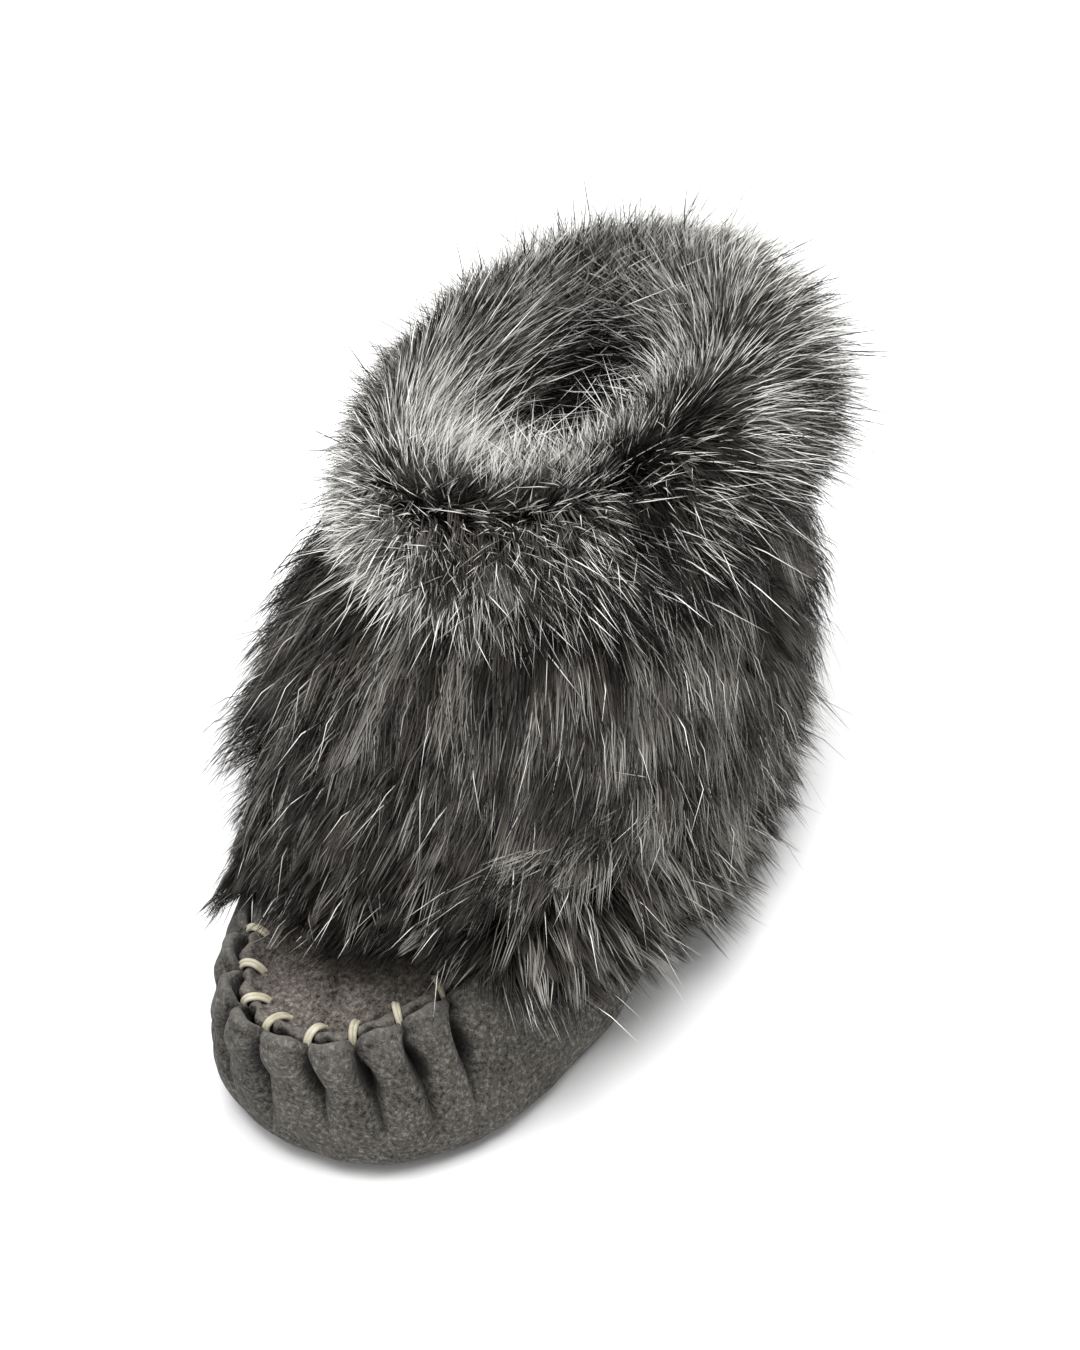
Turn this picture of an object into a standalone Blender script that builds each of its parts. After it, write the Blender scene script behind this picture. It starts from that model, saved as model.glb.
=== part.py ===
"""Baby moccasin with a gathered toe and a deep fur cover, in metres.

The toe points along -Y, +Z is up, and the origin is on the floor under the middle of the sole.
Every piece is cut from one last: a stack of egg-shaped rings, each with its own heights at toe and heel.
A place on the last is an angle t, 0 at the toe and pi at the heel, and a ring coordinate r, which is
0 at the edge of the tread, SEAM_RING at the gathered seam and COLLAR_RING at the top of the shaft.
"""

import math
import random

import bmesh
import bpy
from mathutils import Vector

# Driving dimensions of the last
SOLE_LENGTH = 0.122
BALL_WIDTH = 0.060
SEAM_HEIGHT = 0.027
COLLAR_HEIGHT = 0.072

# Walls and clearances
HIDE_THICKNESS = 0.0020
PLUG_THICKNESS = 0.0018
PELT_THICKNESS = 0.0013
INSOLE_THICKNESS = 0.0025
SEAM_GAP = 0.0003
FACET_GAP = 0.0006
FUR_GAP = 0.0016

# The gathered toe
FLUTE_COUNT = 7
FLUTE_PITCH = 0.00785
FLUTE_DEPTH = 0.0026
FLUTE_RISE = 0.0012
PLUG_DIP = 0.0016
PLUG_HUB = 0.0150

# The sewing thread
THREAD_DIAMETER = 0.0013
STITCH_SLANT = 0.0022
STITCH_BITE = 0.0012
STITCH_DROP = 0.0026

# A stitch's way over the rim. Columns: share of the slant, share of the hide's wall inwards, share of the
# flute's depth outwards, share of the thread's clearance upwards
STITCH_RIM = (
    (0.8, 1.0, 0.0, 1.0),
    (0.4, 0.5, 0.0, 1.4),
    (0.0, 0.0, 0.8, 1.1),
)
STITCH_START_CLEARANCE = 1.35

# The fur: how far its body stands off the hide, and how far a lock reaches past the body
VAMP_FUR_DEPTH = 0.0095
CUFF_FUR_DEPTH = 0.0095
CUFF_FUR_RISE = 0.0095
CUFF_FUR_INSIDE = 0.0060
LOCK_LENGTH = 0.0110
LOCK_SPREAD = 0.14
LOCK_SEED = 11

# A lock leaves its face, bends at a knee and ends in a point. Columns: share of its length outwards,
# share along the comb, size of its section
LOCK_KNEE = (0.34, 0.34, 0.66)
LOCK_TIP = (0.46, 0.88, 1.00)

# Rings of the last, from the floor up. Columns: height at toe and at heel below the seam, as shares of
# SEAM_HEIGHT; height at toe and at heel above the seam, as shares of what the shaft rises; half width, as
# a share of half BALL_WIDTH; reach of toe and heel, as shares of half SOLE_LENGTH; taper and squareness
RINGS = (
    ("tread edge", 0.00, 0.00, 0.00, 0.00, 0.80, 0.860, 0.925, 0.17, 0.76),
    ("tread round", 0.10, 0.06, 0.00, 0.00, 0.93, 0.950, 0.975, 0.17, 0.77),
    ("bulge", 0.33, 0.28, 0.00, 0.00, 0.98, 0.980, 1.000, 0.17, 0.79),
    ("wall", 0.68, 0.72, 0.00, 0.00, 0.93, 0.988, 0.995, 0.09, 0.79),
    ("seam", 1.00, 1.12, 0.00, 0.00, 0.83, 0.985, 0.975, 0.01, 0.80),
    ("shoulder", 1.00, 1.00, 0.02, 0.19, 0.79, 0.790, 0.970, 0.00, 0.79),
    ("vamp edge", 1.00, 1.00, 0.10, 0.30, 0.77, 0.500, 0.960, 0.00, 0.78),
    ("instep", 1.00, 1.00, 0.40, 0.50, 0.75, 0.180, 0.950, 0.00, 0.82),
    ("ankle", 1.00, 1.00, 0.70, 0.74, 0.74, 0.010, 0.970, 0.00, 0.90),
    ("collar", 1.00, 1.00, 1.00, 1.08, 0.78, -0.020, 1.050, 0.00, 0.95),
)
SEAM_RING = 4.0
VAMP_RING = 6.0
TIER_RING = 7.90
COLLAR_RING = 9.0

# Where the pelt's front edge leaves the vamp and where it reaches the seam, and where the plug ends, as angles
PELT_TURNS = math.radians(34)
PELT_LANDS = math.radians(66)
PLUG_ENDS = math.radians(62)

# Rows of the flutes within one pitch, dense beside the creases
FLUTE_SHARES = (0.0, 0.1, 0.3, 0.5, 0.7, 0.9)
END_FLUTE_SHARES = (0.0, 0.1, 0.3, 0.6, 1.0)
SIDE_COLUMNS = 24
CREST_FLATNESS = 0.45
CREASE_RINGS = (1.6, 3.4)
RIM_RINGS = (3.0, 4.0)
WALL_ROWS = (0.0, 0.45, 1.0, 1.5, 2.0, 2.6, 3.1, 3.6, 4.0)
PLUG_ROWS = (0.0, 0.25, 0.6, 1.0)
PELT_COLUMNS = 32
PELT_ROWS = 6
INSOLE_COLUMNS = 36

# Lower edge of the vamp fur: its ring in front, and the drops that follow towards the heel.
# Columns: angle in degrees where a drop starts and where it ends, how many rings it drops
FUR_EDGE_FRONT = 5.45
FUR_EDGE_DROPS = (
    (38.0, 66.0, 2.1),
    (60.0, 110.0, 1.0),
)

# The vamp fur's body. Columns: share of the way from its lower edge to the tier line, depth share
VAMP_FUR_ROWS = (
    (0.00, 0.34),
    (0.13, 0.46),
    (0.31, 0.74),
    (0.50, 0.96),
    (0.69, 1.00),
    (0.86, 0.85),
    (1.00, 0.34),
)
VAMP_FUR_COLUMNS = 38
VAMP_FUR_BACK_ROWS = 7

# The cuff fur's section round the collar. Columns: ring coordinate, depth share (outward, inward below 0)
CUFF_FUR_OUTLINE = (
    (8.06, 0.60),
    (8.20, 0.95),
    (8.44, 1.15),
    (8.76, 1.15),
    (9.08, 0.95),
)
CUFF_FUR_LINING = (
    (9.10, -0.90),
    (8.85, -1.00),
    (8.55, -0.80),
)
CUFF_BACK_SHARES = (0.66, 0.33, 0.0)
CUFF_FUR_COLUMNS = 32
CUFF_CROWN_SHARE = 0.45
CUFF_FLARE = 0.5
CUFF_PARTING = 0.6

SLOPE_STEP = 0.02
HALVINGS = 24

FUR_GREY = (0.17, 0.16, 0.15)
HIDE_GREY = (0.13, 0.125, 0.115)
PLUG_BROWN = (0.15, 0.135, 0.125)
PELT_TAN = (0.42, 0.36, 0.30)
THREAD_CREAM = (0.72, 0.68, 0.50)
FLEECE_GREY = (0.45, 0.43, 0.40)


def clear_scene():
    for obj in list(bpy.data.objects):
        bpy.data.objects.remove(obj)


def smooth_step(low, high, value):
    share = min(1.0, max(0.0, (value - low) / (high - low)))
    return share * share * (3 - 2 * share)


def ring_values(r):
    """The ring table's columns at any ring coordinate, on one smooth curve through its rows."""
    last = len(RINGS) - 1
    low = min(last - 1, max(0, math.floor(r)))
    share = r - low
    before, first, second, after = (
        RINGS[min(last, max(0, low + step))][1:] for step in (-1, 0, 1, 2)
    )
    values = []
    for a, b, c, d in zip(before, first, second, after):
        lift = (c - a) * share
        bow = (2 * a - 5 * b + 4 * c - d) * share**2
        turn = (3 * b - a - 3 * c + d) * share**3
        values.append(0.5 * (2 * b + lift + bow + turn))
    return values


def last_point(t, r):
    """The outside of the hide before it is gathered. Past the collar it runs on straight."""
    if r > COLLAR_RING:
        top = last_point(t, COLLAR_RING)
        return top + (top - last_point(t, COLLAR_RING - 0.1)) * (r - COLLAR_RING) * 10
    low_toe, low_heel, high_toe, high_heel, half, toe, heel, taper, square = ring_values(r)
    shaft = COLLAR_HEIGHT - SEAM_HEIGHT
    toe_z = low_toe * SEAM_HEIGHT + high_toe * shaft
    heel_z = low_heel * SEAM_HEIGHT + high_heel * shaft
    middle = (heel - toe) * SOLE_LENGTH / 4
    reach = (heel + toe) * SOLE_LENGTH / 4
    side = math.copysign(abs(math.sin(t)) ** square, math.sin(t))
    x = half * BALL_WIDTH / 2 * side * (1 + taper * math.cos(t))
    y = middle - reach * math.cos(t)
    return Vector((x, y, toe_z + (heel_z - toe_z) * (1 - math.cos(t)) / 2))


def last_normal(t, r):
    """Outward from the last, by the slopes along its ring and up its side."""
    along = last_point(t + SLOPE_STEP, r) - last_point(t - SLOPE_STEP, r)
    below = max(0.0, r - SLOPE_STEP)
    above = below + 2 * SLOPE_STEP
    up = last_point(t, above) - last_point(t, below)
    return along.cross(up).normalized()


def skin_point(t, r, out):
    return last_point(t, r) + last_normal(t, r) * out


def seam_slope(t):
    """How the gathered seam runs at an angle: metres to a radian."""
    ahead, behind = last_point(t + SLOPE_STEP, SEAM_RING), last_point(t - SLOPE_STEP, SEAM_RING)
    return (ahead - behind) / (2 * SLOPE_STEP)


def plan_normal(t):
    """Level and outward from the gathered seam."""
    along = seam_slope(t)
    return Vector((along.y, -along.x, 0)).normalized()


def ring_share(t, r, length):
    """How much of a ring coordinate a length covers there."""
    return length / (last_point(t, r + 0.5) - last_point(t, r - 0.5)).length


def crease_angles():
    """Angles of the creases, evenly spaced along the seam from one side of the toe to the other."""
    wanted = [abs(i - FLUTE_COUNT / 2) * FLUTE_PITCH for i in range(FLUTE_COUNT + 1)]
    reached = [(0.0, 0.0)]
    while reached[-1][0] < max(wanted) and reached[-1][1] < math.pi / 2:
        length, t = reached[-1]
        step = SLOPE_STEP / 10
        reached.append((length + seam_slope(t + step / 2).length * step, t + step))
    angles = []
    for i, goal in enumerate(wanted):
        t = min(reached, key=lambda pair: abs(pair[0] - goal))[1]
        angles.append(math.copysign(t, i - FLUTE_COUNT / 2))
    return angles


CREASES = crease_angles()


def crest_share(t):
    """0 in a crease, 1 on the crest of a flute, and 1 again a pitch beyond the last crease."""
    inside = [k for k in range(FLUTE_COUNT) if CREASES[k] <= t <= CREASES[k + 1]]
    if inside:
        first, second = CREASES[inside[0]], CREASES[inside[0] + 1]
        return abs(math.sin(math.pi * (t - first) / (second - first)))
    beyond = abs(math.remainder(t, 2 * math.pi)) - CREASES[-1]
    return math.sin(math.pi / 2 * min(1.0, beyond / (CREASES[-1] - CREASES[-2])))


def wall_point(t, r):
    """The outside of the gathered hide: crests stay on the last, and creases sink into it."""
    sink = 1 - crest_share(t) ** CREST_FLATNESS
    point = skin_point(t, r, -FLUTE_DEPTH * sink * smooth_step(*CREASE_RINGS, r))
    return point - Vector((0, 0, FLUTE_RISE * sink * smooth_step(*RIM_RINGS, r)))


def wall_columns():
    """Angles of the hide's columns: a few to each flute, and even steps round the quarters."""
    angles = []
    for first, second in zip(CREASES, CREASES[1:]):
        angles += [first + (second - first) * share for share in FLUTE_SHARES]
    pitch = CREASES[-1] - CREASES[-2]
    near = [share * pitch for share in END_FLUTE_SHARES]
    start, end = CREASES[-1] + near[-1], 2 * math.pi + CREASES[0] - near[-1]
    rest = [start + (end - start) * i / SIDE_COLUMNS for i in range(1, SIDE_COLUMNS)]
    after = [2 * math.pi + CREASES[0] - step for step in reversed(near[1:])]
    return angles + [CREASES[-1] + step for step in near] + rest + after


def even_columns(count, shift=0.0):
    return [2 * math.pi * (i + shift) / count - math.pi for i in range(count)]


def pelt_edge(t):
    """Ring coordinate of the pelt's lower edge: across the vamp in front, on the seam round the quarters."""
    t = abs(math.remainder(t, 2 * math.pi))
    lean = max(0.0, last_normal(t, SEAM_RING + 0.5).z)
    landing = SEAM_RING + ring_share(t, SEAM_RING + 0.5, SEAM_GAP + PELT_THICKNESS * lean)
    share = min(1.0, max(0.0, (t - PELT_TURNS) / (PELT_LANDS - PELT_TURNS)))
    return landing + (VAMP_RING - landing) * math.sqrt(1 - share**2)


def ring_angle(r, y):
    """Angle at which ring r passes a distance y along the shoe."""
    toe, heel = ring_values(r)[5:7]
    cosine = ((heel - toe) * SOLE_LENGTH / 4 - y) / ((heel + toe) * SOLE_LENGTH / 4)
    return math.acos(min(1.0, max(-1.0, cosine)))


def vamp_height(place):
    """Height of the last above a place on the toe or the vamp, by the ring that passes over it."""
    low, high = SEAM_RING, TIER_RING
    for _ in range(HALVINGS):
        middle = (low + high) / 2
        outside = last_point(ring_angle(middle, place.y), middle).x > abs(place.x)
        low, high = (middle, high) if outside else (low, middle)
    return last_point(ring_angle(low, place.y), low).z


def plug_edge(t):
    """Top of the plug's edge, square to the seam and just clear of the gathered wall."""
    seam = last_point(t, SEAM_RING)
    inset = FLUTE_DEPTH * (1 - crest_share(t)) + HIDE_THICKNESS + FACET_GAP
    return seam - plan_normal(t) * inset - Vector((0, 0, PLUG_DIP))


def plug_back(t):
    """Where the straight way from inside the gathered seam to the plug's hub meets the pelt's edge."""
    hub = last_point(0, VAMP_RING).y + PLUG_HUB
    start = last_point(t, SEAM_RING) - plan_normal(t) * (FLUTE_DEPTH + HIDE_THICKNESS)
    aim = math.atan2(abs(start.x), hub - start.y)
    low, high = 0.0, PELT_LANDS
    for _ in range(HALVINGS):
        turn = (low + high) / 2
        place = last_point(turn, pelt_edge(turn) - ring_share(turn, pelt_edge(turn), FACET_GAP))
        low, high = (turn, high) if math.atan2(place.x, hub - place.y) < aim else (low, turn)
    return Vector((math.copysign(place.x, t), place.y, place.z))


def plug_point(t, share):
    """The plug's top, from its dipped edge in the seam, share 0, to the pelt's edge, share 1."""
    edge = plug_edge(t)
    point = edge.lerp(plug_back(t), share)
    dip = vamp_height(edge) - edge.z
    point.z = vamp_height(point) - dip * (1 - share) ** 2
    return point


def material(name, colour, roughness):
    made = bpy.data.materials.new(name)
    made.use_nodes = True
    shader = made.node_tree.nodes["Principled BSDF"]
    shader.inputs["Base Color"].default_value = (*colour, 1)
    shader.inputs["Roughness"].default_value = roughness
    shader.inputs["Metallic"].default_value = 0
    return made


def node_from_bmesh(name, bm, collection, finish):
    bmesh.ops.recalc_face_normals(bm, faces=bm.faces)
    mesh = bpy.data.meshes.new(name)
    bm.to_mesh(mesh)
    bm.free()
    obj = bpy.data.objects.new(name, mesh)
    obj.data.materials.append(finish)
    collection.objects.link(obj)
    mesh.set_sharp_from_angle(angle=math.radians(50))
    return obj


def add_wall_thickness(obj, thickness):
    """Grows a wall inwards from an open surface whose faces point out."""
    shell = obj.modifiers.new("wall", "SOLIDIFY")
    shell.thickness = thickness
    shell.offset = -1


def grid_rows(bm, rows, closed):
    """Joins equal rows of points into bands of quads and returns (rows of vertices, bands of faces)."""
    made = [[bm.verts.new(point) for point in row] for row in rows]
    bands = []
    for low, high in zip(made, made[1:]):
        count = len(low) if closed else len(low) - 1
        ends = [(i, (i + 1) % len(low)) for i in range(count)]
        bands.append([bm.faces.new((low[i], low[j], high[j], high[i])) for i, j in ends])
    return made, bands


def build_bottom_hide(collection):
    """Sole and side walls in one piece of hide, gathered round the toe and open at the top."""
    bm = bmesh.new()
    columns = wall_columns()
    rows, _ = grid_rows(bm, [[wall_point(t, r) for t in columns] for r in WALL_ROWS], True)
    bm.faces.new(reversed(rows[0]))
    obj = node_from_bmesh("bottom_hide", bm, collection, material("hide", HIDE_GREY, 0.95))
    add_wall_thickness(obj, HIDE_THICKNESS)
    return obj


def build_toe_plug(collection):
    """The suede panel on top of the toe, set inside the gathered rim, with its tips under the fur."""
    bm = bmesh.new()
    angles = sorted(math.remainder(t, 2 * math.pi) for t in wall_columns())
    columns = [t for t in angles if abs(t) < PLUG_ENDS]
    grid_rows(bm, [[plug_point(t, share) for t in columns] for share in PLUG_ROWS], False)
    grown = bmesh.ops.extrude_face_region(bm, geom=bm.faces[:])["geom"]
    under = [item for item in grown if isinstance(item, bmesh.types.BMVert)]
    bmesh.ops.translate(bm, verts=under, vec=(0, 0, -PLUG_THICKNESS))
    return node_from_bmesh("toe_plug", bm, collection, material("plug", PLUG_BROWN, 0.95))


def build_ankle_upper(collection):
    """The pelt's leather: a hollow shaft and vamp, open at the collar and where the bottom hide closes it."""
    bm = bmesh.new()
    columns = even_columns(PELT_COLUMNS)
    rows = []
    for i in range(PELT_ROWS + 1):
        share = i / PELT_ROWS
        rows.append(
            [last_point(t, pelt_edge(t) + (COLLAR_RING - pelt_edge(t)) * share) for t in columns]
        )
    grid_rows(bm, rows, True)
    obj = node_from_bmesh("ankle_upper", bm, collection, material("pelt", PELT_TAN, 0.9))
    add_wall_thickness(obj, PELT_THICKNESS)
    return obj


def build_insole(collection):
    """A flat fleece sock on the hide's floor, clear of the walls."""
    inset = HIDE_THICKNESS + 2 * SEAM_GAP
    outline = bpy.data.curves.new("insole", "CURVE")
    outline.dimensions = "2D"
    outline.fill_mode = "BOTH"
    outline.extrude = INSOLE_THICKNESS / 2
    spline = outline.splines.new("POLY")
    spline.points.add(INSOLE_COLUMNS - 1)
    spline.use_cyclic_u = True
    for point, t in zip(spline.points, even_columns(INSOLE_COLUMNS)):
        edge = last_point(t, 0.0)
        edge -= Vector((edge.x, edge.y, 0)).normalized() * inset
        point.co = (edge.x, edge.y, 0, 1)
    obj = bpy.data.objects.new("insole", outline)
    obj.location.z = HIDE_THICKNESS + SEAM_GAP + INSOLE_THICKNESS / 2
    outline.materials.append(material("fleece", FLEECE_GREY, 1.0))
    collection.objects.link(obj)
    return obj


def grow_locks(bm, locks, rng):
    """Draws faces out into bent, pointed locks. Each lock is a face with the direction of its comb."""
    for face, comb in locks:
        centre, out = face.calc_center_median(), face.normal.copy()
        comb = (comb - out * comb.dot(out)).normalized()
        length = LOCK_LENGTH * rng.uniform(0.8, 1.15)
        lean = Vector([rng.uniform(-LOCK_SPREAD, LOCK_SPREAD) for _ in range(3)])
        for away, along, size in (LOCK_KNEE, LOCK_TIP):
            place = centre + (out * away + comb * along + lean * along) * length
            face = extrude_to(bm, face, place, size)
        bmesh.ops.pointmerge(bm, verts=face.verts, merge_co=place)


def extrude_to(bm, face, centre, size):
    """Draws one face out to a new centre at a share of its size."""
    top = bmesh.ops.extrude_discrete_faces(bm, faces=[face])["faces"][0]
    middle = top.calc_center_median()
    for vert in top.verts:
        vert.co = centre + (vert.co - middle) * size
    return top


def fur_edge(t):
    """Ring coordinate of the vamp fur's lower edge: on the plug in front, low on the wall at the heel."""
    t = abs(math.remainder(t, 2 * math.pi))
    ring = FUR_EDGE_FRONT
    for start, end, drop in FUR_EDGE_DROPS:
        ring -= drop * smooth_step(math.radians(start), math.radians(end), t)
    return ring


def vamp_fur_point(t, share, depth):
    low = fur_edge(t)
    return skin_point(t, low + (TIER_RING - low) * share, depth)


def build_vamp_fur(collection):
    """The lower tier of fur, hanging from the ankle over the vamp and the quarters."""
    bm = bmesh.new()
    rows, places = [], []
    for i, (share, depth) in enumerate(VAMP_FUR_ROWS):
        columns = even_columns(VAMP_FUR_COLUMNS, 0.5 * (i % 2))
        places.append([(t, share) for t in columns])
        rows.append([vamp_fur_point(t, share, depth * VAMP_FUR_DEPTH) for t in columns])
    for i in range(VAMP_FUR_BACK_ROWS + 1):
        share = 1 - i / VAMP_FUR_BACK_ROWS
        columns = even_columns(VAMP_FUR_COLUMNS)
        rows.append([vamp_fur_point(t, share, FUR_GAP) for t in columns])
    made, bands = grid_rows(bm, rows, True)
    close_loop(bm, made)
    bmesh.ops.recalc_face_normals(bm, faces=bm.faces)
    locks = []
    for band, row in zip(bands[: len(VAMP_FUR_ROWS) - 2], places):
        for face, (t, share) in zip(band, row):
            comb = vamp_fur_point(t, share, 0) - vamp_fur_point(t, share + 0.1, 0)
            locks.append((face, comb))
    grow_locks(bm, locks, random.Random(LOCK_SEED))
    return node_from_bmesh("vamp_fur", bm, collection, material("vamp fur", FUR_GREY, 1.0))


def close_loop(bm, made):
    """Joins the last row of a section to its first, which makes a closed ring of it."""
    first, last = made[0], made[-1]
    count = len(first)
    for i in range(count):
        j = (i + 1) % count
        bm.faces.new((last[i], last[j], first[j], first[i]))


def cuff_section():
    """The cuff fur's closed section as (ring coordinate, outward depth), first its fur side, then its channel."""
    shaft = (last_point(0, COLLAR_RING) - last_point(0, COLLAR_RING - 1)).length
    over = COLLAR_RING + CUFF_FUR_RISE / shaft
    lip = COLLAR_RING + FUR_GAP / shaft
    behind = -PELT_THICKNESS - FUR_GAP
    fur = [(r, depth * CUFF_FUR_DEPTH) for r, depth in CUFF_FUR_OUTLINE]
    fur += [(over, CUFF_FUR_DEPTH * CUFF_CROWN_SHARE), (over, -CUFF_FUR_INSIDE * CUFF_CROWN_SHARE)]
    fur += [(r, depth * CUFF_FUR_INSIDE) for r, depth in CUFF_FUR_LINING]
    foot, hem = CUFF_FUR_LINING[-1][0], CUFF_FUR_OUTLINE[0][0]
    channel = [(foot, behind), ((foot + lip) / 2, behind), (lip, behind), (lip, FUR_GAP)]
    channel += [(hem + (lip - hem) * share, FUR_GAP) for share in CUFF_BACK_SHARES]
    return fur, channel


def build_cuff_fur(collection):
    """The upper tier: fur folded over the collar, standing up and out, and lining the top of the shaft."""
    bm = bmesh.new()
    fur, channel = cuff_section()
    rows = []
    for i, (r, out) in enumerate(fur + channel):
        shift = 0.5 * (i % 2) if i < len(fur) else 0.0
        rows.append([skin_point(t, r, out) for t in even_columns(CUFF_FUR_COLUMNS, shift)])
    made, bands = grid_rows(bm, rows, True)
    close_loop(bm, made)
    bmesh.ops.recalc_face_normals(bm, faces=bm.faces)
    middle = last_point(0, COLLAR_RING).lerp(last_point(math.pi, COLLAR_RING), 0.5)
    hem, crown = min(v.co.z for v in made[0]), max(v.co.z for v in bm.verts)
    locks = []
    for face in [face for band in bands[: len(fur) - 1] for face in band]:
        centre = face.calc_center_median()
        height = (centre.z - hem) / (crown - hem)
        away = Vector((centre.x - middle.x, centre.y - middle.y, 0)).normalized()
        locks.append((face, away * CUFF_FLARE + Vector((0, 0, 2 * height - CUFF_PARTING))))
    grow_locks(bm, locks, random.Random(LOCK_SEED + 1))
    return node_from_bmesh("cuff_fur", bm, collection, material("cuff fur", FUR_GREY, 1.0))


def stitch_path(t):
    """One whip stitch: out of the plug, over the gathered rim and down into its crease."""
    out, up = plan_normal(t), Vector((0, 0, 1))
    clear = THREAD_DIAMETER / 2 + SEAM_GAP + FACET_GAP / 2
    turn = STITCH_SLANT / seam_slope(t).length
    start = t + turn
    bite = STITCH_BITE / (plug_point(start, 1) - plug_point(start, 0)).length
    path = [plug_point(start, bite) + up * clear * STITCH_START_CLEARANCE]
    for slant, inwards, outwards, rise in STITCH_RIM:
        away = FLUTE_DEPTH * outwards - HIDE_THICKNESS * inwards
        path.append(wall_point(t + turn * slant, SEAM_RING) + out * away + up * clear * rise)
    drop = ring_share(t, SEAM_RING - 0.5, STITCH_DROP)
    for share in (0.5, 1.0):
        path.append(wall_point(t, SEAM_RING - drop * share) + out * (FLUTE_DEPTH + FACET_GAP))
    return path


def build_stitches(collection):
    """The cream whip stitches, one over each crease, each a short arch of thread."""
    finish = material("thread", THREAD_CREAM, 0.7)
    for i, t in enumerate(CREASES):
        curve = bpy.data.curves.new("stitch", "CURVE")
        curve.dimensions = "3D"
        curve.bevel_depth = THREAD_DIAMETER / 2
        curve.bevel_resolution = 1
        curve.use_fill_caps = True
        path = stitch_path(t)
        spline = curve.splines.new("POLY")
        spline.points.add(len(path) - 1)
        for point, place in zip(spline.points, path):
            point.co = (*place, 1)
        curve.materials.append(finish)
        collection.objects.link(bpy.data.objects.new(f"toe_stitch_{i + 1:02d}", curve))


def main():
    clear_scene()
    collection = bpy.data.collections.new("baby moccasin")
    bpy.context.scene.collection.children.link(collection)
    build_bottom_hide(collection)
    build_toe_plug(collection)
    build_ankle_upper(collection)
    build_insole(collection)
    build_stitches(collection)
    build_vamp_fur(collection)
    build_cuff_fur(collection)


main()
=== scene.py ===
"""Looks of the baby moccasin: gathered suede toe, whip stitches and two tiers of long silver-grey fur.

Everything is laid out on the shoe's last, as the solids are: a place is an angle t, 0 at the toe and pi at
the heel, and a ring coordinate r, 0 at the edge of the tread, 4 at the gathered seam and 9 at the collar.
"""

import math

import bmesh
import bpy
import numpy as np
from mathutils import Matrix, Vector
from mathutils.kdtree import KDTree


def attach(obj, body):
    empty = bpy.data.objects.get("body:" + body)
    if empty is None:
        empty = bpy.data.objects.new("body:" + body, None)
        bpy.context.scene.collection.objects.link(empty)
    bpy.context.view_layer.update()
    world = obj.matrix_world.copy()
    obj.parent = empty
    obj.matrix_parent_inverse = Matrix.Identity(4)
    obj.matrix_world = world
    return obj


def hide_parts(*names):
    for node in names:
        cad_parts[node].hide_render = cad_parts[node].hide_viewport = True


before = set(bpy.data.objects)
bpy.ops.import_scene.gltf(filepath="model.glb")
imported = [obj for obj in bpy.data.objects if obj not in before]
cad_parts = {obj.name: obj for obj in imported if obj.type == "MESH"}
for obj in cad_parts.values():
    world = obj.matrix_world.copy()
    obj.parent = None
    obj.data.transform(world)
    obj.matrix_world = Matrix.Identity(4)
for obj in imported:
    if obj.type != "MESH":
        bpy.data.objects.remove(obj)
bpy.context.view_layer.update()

MM = 0.001

# The last: the same driving sizes and rings as the solids
SOLE_LENGTH = 122 * MM
BALL_WIDTH = 60 * MM
SEAM_HEIGHT = 27 * MM
COLLAR_HEIGHT = 72 * MM
RINGS = np.array((
    (0.00, 0.00, 0.00, 0.00, 0.80, 0.860, 0.925, 0.17, 0.76),
    (0.10, 0.06, 0.00, 0.00, 0.93, 0.950, 0.975, 0.17, 0.77),
    (0.33, 0.28, 0.00, 0.00, 0.98, 0.980, 1.000, 0.17, 0.79),
    (0.68, 0.72, 0.00, 0.00, 0.93, 0.988, 0.995, 0.09, 0.79),
    (1.00, 1.12, 0.00, 0.00, 0.83, 0.985, 0.975, 0.01, 0.80),
    (1.00, 1.00, 0.02, 0.19, 0.79, 0.790, 0.970, 0.00, 0.79),
    (1.00, 1.00, 0.10, 0.30, 0.77, 0.500, 0.960, 0.00, 0.78),
    (1.00, 1.00, 0.40, 0.50, 0.75, 0.180, 0.950, 0.00, 0.82),
    (1.00, 1.00, 0.70, 0.74, 0.74, 0.010, 0.970, 0.00, 0.90),
    (1.00, 1.00, 1.00, 1.08, 0.78, -0.020, 1.050, 0.00, 0.95),
))
SEAM_RING = 4.0
VAMP_RING = 6.0
TIER_RING = 7.9
COLLAR_RING = 9.0
PELT_TURNS = math.radians(34)
PELT_LANDS = math.radians(66)

HIDE_THICKNESS = 2.0 * MM
PELT_THICKNESS = 1.3 * MM
SEAM_GAP = 0.3 * MM
FACET_GAP = 0.6 * MM
FUR_GAP = 1.6 * MM
FLUTE_COUNT = 7
FLUTE_PITCH = 7.85 * MM
FLUTE_DEPTH = 2.6 * MM
FLUTE_RISE = 1.2 * MM
PLUG_DIP = 1.6 * MM
PLUG_HUB = 15 * MM
PLUG_ENDS = math.radians(62)
CREST_FLATNESS = 0.45

UP = np.array((0, 0, 1.0))
SLOPE_STEP = 0.02
HALVINGS = 22


# Shape of the last


def smooth_step(low, high, value):
    share = np.clip((value - low) / (high - low), 0.0, 1.0)
    return share * share * (3 - 2 * share)


def unit(vectors):
    return vectors / np.maximum(np.linalg.norm(vectors, axis=-1, keepdims=True), 1e-9)


def laid(comb, out):
    """A direction laid flat on the skin that faces out."""
    return unit(comb - out * np.sum(comb * out, axis=-1, keepdims=True))


def signed(t):
    """The same angle between -pi and pi, negative on the shoe's -X side."""
    return (np.asarray(t) + math.pi) % (2 * math.pi) - math.pi


def wrapped(t):
    """How far round from the toe, on either side."""
    return np.abs(signed(t))


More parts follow.
